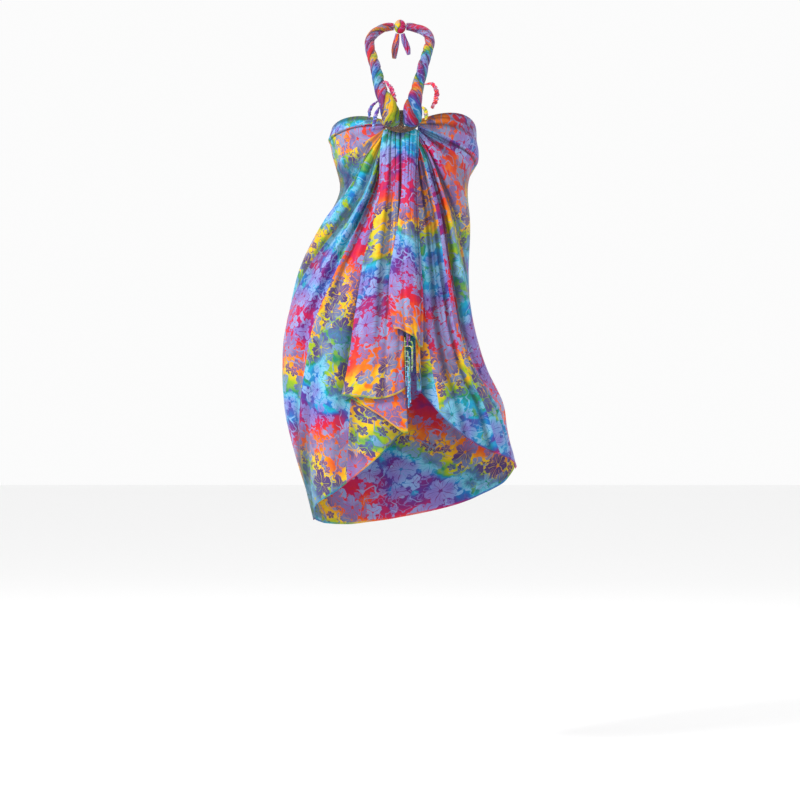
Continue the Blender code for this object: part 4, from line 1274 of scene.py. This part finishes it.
class Nodes:
    """Short way to lay out the nodes of one material."""

    def __init__(self, name):
        self.material = bpy.data.materials.new(name)
        self.material.use_nodes = True
        self.tree = self.material.node_tree
        self.shader = self.tree.nodes["Principled BSDF"]
        self.column = 0

    def add(self, kind, **settings):
        node = self.tree.nodes.new(kind)
        node.location = (-1800 + 40 * self.column, 300 - 160 * (self.column % 6))
        self.column += 1
        for key, value in settings.items():
            setattr(node, key, value)
        return node

    def put(self, node, slot, value):
        if hasattr(value, "is_output") or hasattr(value, "links"):
            self.tree.links.new(value, node.inputs[slot])
        else:
            node.inputs[slot].default_value = value

    def place_on(self, uv_map):
        return self.add("ShaderNodeUVMap", uv_map=uv_map).outputs[0]

    def split(self, kind, value):
        node = self.add("ShaderNodeSeparate" + kind)
        self.put(node, 0, value)
        return node.outputs

    def vector(self, operation, a, b):
        node = self.add("ShaderNodeVectorMath", operation=operation)
        self.put(node, 0, a)
        self.put(node, 1, b)
        return node.outputs[0]

    def math(self, operation, a, b=0.0, c=0.0):
        node = self.add("ShaderNodeMath", operation=operation)
        for slot, value in enumerate((a, b, c)):
            if slot < len(node.inputs):
                self.put(node, slot, value)
        return node.outputs[0]

    def times(self, a, b):
        return self.math("MULTIPLY", a, b)

    def times_plus(self, a, b, c):
        return self.math("MULTIPLY_ADD", a, b, c)

    def away(self, value, middle):
        return self.math("ABSOLUTE", self.math("SUBTRACT", value, middle))

    def ripple(self, kind, angle, number):
        return self.math("ABSOLUTE", self.math(kind, self.times(angle, number)))

    def step(self, value, low, high):
        node = self.add("ShaderNodeMapRange", interpolation_type="SMOOTHSTEP")
        self.put(node, 0, value)
        self.put(node, 1, low)
        self.put(node, 2, high)
        return node.outputs[0]

    def mix(self, share, a, b):
        node = self.add("ShaderNodeMix", data_type="RGBA", clamp_factor=True)
        self.put(node, 0, share)
        self.put(node, 6, a)
        self.put(node, 7, b)
        return node.outputs[2]

    def ramp(self, value, stops):
        node = self.add("ShaderNodeValToRGB")
        node.color_ramp.interpolation = "LINEAR"
        elements = node.color_ramp.elements
        elements[0].color = linear(stops[0][1])
        elements[-1].color = linear(stops[-1][1])
        for place, colour in stops[1:-1]:
            elements.new(place).color = linear(colour)
        self.put(node, 0, value)
        return node.outputs[0]

    def noise(self, vector, scale, detail=2.0, rough=0.5):
        node = self.add("ShaderNodeTexNoise", noise_dimensions="2D")
        self.put(node, "Vector", vector)
        node.inputs["Scale"].default_value = scale
        node.inputs["Detail"].default_value = detail
        node.inputs["Roughness"].default_value = rough
        return node.outputs["Fac"]

    def cells(self, vector, scale, **settings):
        node = self.add("ShaderNodeTexVoronoi", **settings)
        self.put(node, "Vector", vector)
        node.inputs["Scale"].default_value = scale
        return node

    def finish(self, colour, values, relief, strength, distance):
        self.put(self.shader, "Base Color", colour)
        for name, value in values.items():
            self.shader.inputs[name].default_value = value
        bump = self.add("ShaderNodeBump")
        bump.inputs["Strength"].default_value = strength
        bump.inputs["Distance"].default_value = distance
        self.put(bump, "Height", relief)
        self.put(self.shader, "Normal", bump.outputs[0])
        return self.material


def linear(colour):
    """Screen colour in 0 to 255 as a linear colour."""
    parts = []
    for value in colour:
        value = value / 255.0
        parts.append(value / 12.92 if value <= 0.04045 else ((value + 0.055) / 1.055) ** 2.4)
    return tuple(parts) + (1.0,)


# Dye bands of the cloth: place in one repeat, ground colour, colour of the waxed motif
DYE_REPEAT = 0.235
DYE_START = 0.05
DYE_BANDS = (
    (0.00, (10, 140, 100), (70, 120, 170)),
    (0.05, (0, 175, 215), (110, 200, 225)),
    (0.13, (10, 115, 200), (120, 165, 225)),
    (0.20, (85, 40, 150), (125, 120, 205)),
    (0.28, (130, 15, 120), (140, 120, 200)),
    (0.38, (205, 0, 85), (145, 130, 205)),
    (0.50, (225, 15, 40), (140, 115, 185)),
    (0.60, (245, 80, 5), (135, 115, 175)),
    (0.70, (250, 135, 0), (120, 92, 150)),
    (0.81, (250, 205, 0), (88, 55, 118)),
    (0.91, (150, 190, 10), (82, 70, 130)),
    (1.00, (10, 140, 100), (70, 120, 170)),
)

# Other colours of wax, ink, yarn and resin
PALE_WAX = (150, 200, 235)
DEEP_INK = (60, 0, 60)
CRACKLE_INK = (60, 20, 80)
PALE_YARN = (205, 190, 228)
DARK_YARN = (90, 20, 80)
RESIN = (22, 13, 8)

# Waxed motifs: number to the metre, seed, petals, reach, notch and point of a petal
BIG_FLOWER = (19.0, 0.31, 5, 0.52, 0.40, 0.62)
LONG_LEAF = (27.0, 1.73, 3, 0.54, 0.30, 1.10)
SMALL_FLOWER = (48.0, 2.91, 5, 0.50, 0.34, 0.80)

# Chips of coconut shell: number to the metre, and chance with colour
CHIPS_PER_METRE = 420.0
SHELL_TONES = (
    (0.00, (36, 20, 13)),
    (0.35, (92, 54, 32)),
    (0.60, (118, 74, 44)),
    (0.80, (96, 78, 46)),
    (0.92, (168, 116, 72)),
    (1.00, (58, 46, 38)),
)


def motif(nodes, cloth, scale, seed, petals, reach, notch, point):
    """Masks of body, outline and strokes, and a chance, of one size of leaf or flower."""
    shifted = nodes.vector("ADD", cloth, (seed, seed * 0.7, 0.0))
    cells = nodes.cells(shifted, scale, voronoi_dimensions="2D", feature="F1")
    cells.inputs["Randomness"].default_value = 0.62
    local = nodes.vector("SUBTRACT", shifted, cells.outputs["Position"])
    split = nodes.split("XYZ", local)
    hue = nodes.split("Color", cells.outputs["Color"])
    bend = nodes.times(nodes.noise(shifted, scale * 2.0), 0.9)
    turn = nodes.times(hue[0], 6.2832)
    angle = nodes.math("ADD", nodes.math("ARCTAN2", split[1], split[0]), turn)
    angle = nodes.math("ADD", angle, bend)
    wave = nodes.ripple("COSINE", angle, petals / 2)
    lobe = nodes.math("POWER", wave, point)
    teeth = nodes.ripple("SINE", angle, petals * 2.5)
    size = nodes.times_plus(lobe, reach * (1 - notch), reach * notch)
    size = nodes.times_plus(teeth, reach * 0.11, size)
    longer = nodes.times_plus(nodes.math("COSINE", angle), 0.16, 0.92)
    size = nodes.times(size, longer)
    size = nodes.times(size, nodes.times_plus(hue[1], 0.35, 0.80))
    share = nodes.math("DIVIDE", cells.outputs["Distance"], size)
    body = nodes.step(share, 1.03, 0.97)
    rim = nodes.times(nodes.step(share, 1.17, 1.10), nodes.step(share, 1.00, 1.05))
    stroke = nodes.ripple("SINE", angle, petals * 1.5)
    thin = nodes.times_plus(share, -0.34, 0.46)
    mark = nodes.math("SUBTRACT", stroke, thin)
    strokes = nodes.times(nodes.step(mark, 0.04, -0.06), nodes.step(share, 0.86, 0.74))
    spine = nodes.ripple("SINE", angle, petals / 2)
    hub = nodes.step(share, 0.16, 0.12)
    gap = nodes.times(nodes.step(share, 0.30, 0.36), nodes.step(spine, 0.92, 0.80))
    strokes = nodes.times(strokes, nodes.math("MAXIMUM", gap, nodes.step(spine, 0.35, 0.25)))
    strokes = nodes.math("MAXIMUM", strokes, hub)
    return body, rim, strokes, hue[2]


def batik_material(name, rough, waxing):
    """Hand-dyed rayon: slanting rainbow bands, waxed leaves, flowers and tendrils, with painted shade
    darkening the hollows of folds.
    """
    nodes = Nodes(name)
    cloth = nodes.place_on("cloth")
    dye = nodes.split("XYZ", nodes.place_on("dye"))
    hem = nodes.step(dye[1], 0.0042, 0.0034)
    # Painted shade: the "fold" map darkens the colour in the hollows of folds
    fold = nodes.split("XYZ", nodes.place_on("fold"))
    wide = nodes.noise(cloth, 11.0, 2.0, 0.5)
    fine = nodes.noise(cloth, 45.0, 3.0, 0.6)
    place = nodes.times_plus(nodes.math("SUBTRACT", wide, 0.5), 0.150, dye[0])
    place = nodes.times_plus(nodes.math("SUBTRACT", fine, 0.5), 0.045, place)
    phase = nodes.math("FRACT", nodes.math("ADD", nodes.math("DIVIDE", place, DYE_REPEAT), DYE_START))
    grounds = [(p, tuple(DYE_DEPTH * k for k in g)) for p, g, m in DYE_BANDS]
    motifs = [(p, tuple(DYE_DEPTH * k for k in m)) for p, g, m in DYE_BANDS]
    ground = nodes.ramp(phase, grounds)
    waxed = nodes.ramp(phase, motifs)
    splash = nodes.noise(cloth, 26.0, 2.0, 0.5)
    other = nodes.ramp(nodes.math("FRACT", nodes.math("ADD", phase, 0.90)), grounds)
    ground = nodes.mix(nodes.step(splash, 0.56, 0.66), ground, other)
    light = nodes.mix(0.30, waxed, linear(PALE_WAX))
    chance = nodes.noise(cloth, 7.0, 1.0)
    big, big_rim, big_strokes, big_hue = motif(nodes, cloth, *BIG_FLOWER)
    leaf, leaf_rim, leaf_strokes, leaf_hue = motif(nodes, cloth, *LONG_LEAF)
    small, small_rim, small_strokes, small_hue = motif(nodes, cloth, *SMALL_FLOWER)
    curl = nodes.away(nodes.noise(cloth, 30.0, 1.5, 0.5), 0.5)
    curl_line = nodes.step(curl, 0.026, 0.016)
    curl = nodes.times(curl_line, nodes.step(nodes.noise(cloth, 15.0, 1.0), 0.44, 0.50))
    thread = nodes.away(nodes.noise(cloth, 70.0, 1.0), 0.46)
    thread = nodes.times(nodes.step(thread, 0.040, 0.022), nodes.step(chance, 0.46, 0.54))
    colour = nodes.mix(nodes.times(thread, 0.85), ground, waxed)
    keep = nodes.step(small_hue, 1.04 - 0.48 * waxing, 1.05 - 0.48 * waxing)
    colour = nodes.mix(nodes.times(small, keep), colour, waxed)
    inner = nodes.times(nodes.times(small, small_strokes), keep)
    colour = nodes.mix(inner, colour, ground)
    colour = nodes.mix(nodes.times(curl, 0.9), colour, light)
    leaf_keep = nodes.step(leaf_hue, 1.16 - 0.60 * waxing, 1.17 - 0.60 * waxing)
    colour = nodes.mix(nodes.times(leaf_rim, leaf_keep), colour, ground)
    leaf_tone = nodes.mix(nodes.step(leaf_hue, 0.72, 0.73), waxed, light)
    colour = nodes.mix(nodes.times(leaf, leaf_keep), colour, leaf_tone)
    inner = nodes.times(nodes.times(leaf, leaf_strokes), leaf_keep)
    colour = nodes.mix(inner, colour, ground)
    big_keep = nodes.step(big_hue, 1.50 - waxing, 1.51 - waxing)
    colour = nodes.mix(nodes.times(big_rim, big_keep), colour, ground)
    shade = nodes.mix(nodes.times(nodes.step(splash, 0.40, 0.60), 0.7), waxed, light)
    big_tone = nodes.mix(nodes.step(big_hue, 0.60, 0.61), waxed, shade)
    colour = nodes.mix(nodes.times(big, big_keep), colour, big_tone)
    dark = nodes.mix(0.18, ground, linear(DEEP_INK))
    inner = nodes.times(nodes.times(big, big_strokes), big_keep)
    colour = nodes.mix(inner, colour, dark)
    edge = nodes.ramp(nodes.math("FRACT", nodes.math("ADD", phase, 0.12)), grounds)
    colour = nodes.mix(nodes.times(hem, 0.70), colour, edge)
    crackle = nodes.away(nodes.noise(cloth, 190.0, 2.0, 0.7), 0.5)
    crackle = nodes.times(nodes.step(crackle, 0.014, 0.005), 0.22)
    colour = nodes.mix(crackle, colour, linear(CRACKLE_INK))
    # Painted shade: the colour is darkened in the hollows of folds, by the share set at the top
    colour_in_painted_shade = nodes.add("ShaderNodeVectorMath", operation="SCALE")
    nodes.put(colour_in_painted_shade, 0, colour)
    nodes.put(colour_in_painted_shade, 3, nodes.times_plus(fold[0], -PAINTED_FOLD_SHADE, 1.0))
    weave = nodes.noise(cloth, 900.0)
    crumple = nodes.noise(cloth, 26.0, 3.0, 0.5)
    relief = nodes.times_plus(weave, 0.06, crumple)
    relief = nodes.times_plus(hem, 0.25, relief)
    drawn = nodes.vector("MULTIPLY", cloth, (1.0, 0.14, 1.0))
    relief = nodes.times_plus(nodes.noise(drawn, 75.0, 2.0, 0.5), 0.55, relief)
    return nodes.finish(colour_in_painted_shade.outputs[0], {
        "Roughness": rough, "Sheen Weight": 0.06, "Sheen Roughness": 0.4, "Specular IOR Level": 0.30,
    }, relief, 0.45, 0.0035)


def yarn_material():
    """Twisted fringe yarn in the colours of the cloth."""
    nodes = Nodes("fringe_yarn")
    cloth = nodes.place_on("cloth")
    dye = nodes.split("XYZ", nodes.place_on("dye"))
    stain = nodes.noise(cloth, 30.0, 3.0, 0.6)
    place = nodes.times_plus(nodes.math("SUBTRACT", stain, 0.5), 0.06, dye[0])
    phase = nodes.math("FRACT", nodes.math("DIVIDE", place, DYE_REPEAT))
    colour = nodes.ramp(phase, [(p, g) for p, g, m in DYE_BANDS])
    pale = nodes.step(nodes.noise(cloth, 75.0, 2.0, 0.6), 0.50, 0.58)
    colour = nodes.mix(nodes.times(pale, 0.55), colour, linear(PALE_YARN))
    dark = nodes.step(nodes.noise(cloth, 130.0, 2.0, 0.6), 0.52, 0.60)
    colour = nodes.mix(nodes.times(dark, 0.60), colour, linear(DARK_YARN))
    relief = nodes.noise(cloth, 160.0, 3.0, 0.7)
    return nodes.finish(colour, {"Roughness": 0.85, "Sheen Weight": 0.3}, relief, 0.6, 0.0006)


def shell_material():
    """Lacquered mosaic of coconut-shell chips in dark resin."""
    nodes = Nodes("coconut_shell")
    place = nodes.add("ShaderNodeTexCoord").outputs["Object"]
    chips = nodes.cells(place, CHIPS_PER_METRE, feature="F1")
    tone = nodes.ramp(nodes.split("Color", chips.outputs["Color"])[0], SHELL_TONES)
    edge = nodes.cells(place, CHIPS_PER_METRE, feature="DISTANCE_TO_EDGE")
    seam = nodes.step(edge.outputs["Distance"], 0.02, 0.10)
    colour = nodes.mix(seam, linear(RESIN), tone)
    return nodes.finish(colour, {
        "Roughness": 0.28, "Coat Weight": 0.35, "Coat Roughness": 0.15,
    }, seam, 0.35, 0.0004)


def floor_and_light():
    """Pale floor, soft studio light and the camera of the photograph."""
    bpy.ops.object.select_all(action="DESELECT")
    bpy.ops.mesh.primitive_plane_add(size=30.0, location=(0.0, 0.0, FLOOR_Z))
    floor = bpy.context.object
    floor.name = "studio_floor"
    nodes = Nodes("studio_paper")
    nodes.shader.inputs["Base Color"].default_value = (0.92, 0.92, 0.92, 1.0)
    nodes.shader.inputs["Roughness"].default_value = 0.9
    floor.data.materials.append(nodes.material)
    world = bpy.data.worlds.new("studio_air")
    bpy.context.scene.world = world
    world.use_nodes = True
    world.node_tree.nodes["Background"].inputs[0].default_value = (1.0, 1.0, 1.0, 1.0)
    world.node_tree.nodes["Background"].inputs[1].default_value = 0.97
    bpy.context.scene.view_settings.view_transform = "Standard"
    for name, place, size, power in LIGHTS:
        data = bpy.data.lights.new(name, "AREA")
        data.shape = "RECTANGLE"
        data.size = size[0]
        data.size_y = size[1]
        data.energy = power
        lamp = linked(name, data)
        lamp.location = place
        aim = Vector((0.0, AXIS_Y, -0.55)) - Vector(place)
        lamp.rotation_euler = aim.to_track_quat("-Z", "Y").to_euler()
    camera = bpy.data.cameras.new("photo_camera")
    camera.lens = CAMERA_LENS
    camera.sensor_width = 36.0
    camera.clip_end = 60.0
    holder = linked("photo_camera", camera)
    holder.location = (0.0, AXIS_Y - CAMERA_AWAY, CAMERA_HEIGHT)
    holder.rotation_euler = (math.pi / 2, 0.0, 0.0)
    bpy.context.scene.camera = holder


def ride_as(piece, finish, *nodes):
    """Fix a piece on the garment in place of its plain solids."""
    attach(piece, "root")
    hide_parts(*nodes)


def main():
    """Dress every solid of the sarong."""
    batik = batik_material("batik_rayon", 0.55, 1.0)
    twisted = batik_material("batik_rayon_twisted", 0.55, 0.55)
    yarn = yarn_material()
    shell = shell_material()
    wrap, left, right = make_wrap(batik)
    ride_as(wrap, "batik_cloth", "left_panel", "left_underfold", "left_flap", "right_panel",
            "right_underfold", "right_flap", "back_wrap")
    carriers = {"left_strap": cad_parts["left_strap"], "right_strap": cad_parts["right_strap"]}
    strap = strap_piece("twisted_strap_left", STRAP_LEFT, 3.2, 0.4, LEFT_STRAP_DYES, twisted)
    ride_as(strap, "batik_cloth", "left_strap")
    strap = strap_piece("twisted_strap_right", STRAP_RIGHT, -3.2, 2.3, RIGHT_STRAP_DYES, twisted)
    ride_as(strap, "batik_cloth", "right_strap")
    for number, (name, carrier, rows) in enumerate(STRAP_TASSELS):
        tassel = strap_tassel(name + "_yarn", carriers[carrier], rows, TASSEL_DYES[number], yarn)
        ride_as(tassel, "fringe_yarn", name)
    for side, grid, tassels, start, dyes in (
            ("left", left, LEFT_TASSELS, LEFT_FRINGE_FROM, LEFT_FRINGE_DYES),
            ("right", right, RIGHT_TASSELS, RIGHT_FRINGE_FROM, RIGHT_FRINGE_DYES)):
        fringe = fringe_piece(side + "_fringe_yarn", grid, tassels, start, dyes, yarn)
        ride_as(fringe, "fringe_yarn", side + "_fringe")
    ride_as(knot_piece(twisted), "batik_cloth", "neck_knot")
    ride_as(tail_piece("knot_tail_left", TAIL_LEFT, 0.7, 0.10, batik), "batik_cloth", "left_tail")
    ride_as(tail_piece("knot_tail_right", TAIL_RIGHT, 2.1, 0.28, batik), "batik_cloth", "right_tail")
    ride_as(buckle_piece(shell), "coconut_shell", "buckle")
    floor_and_light()


main()
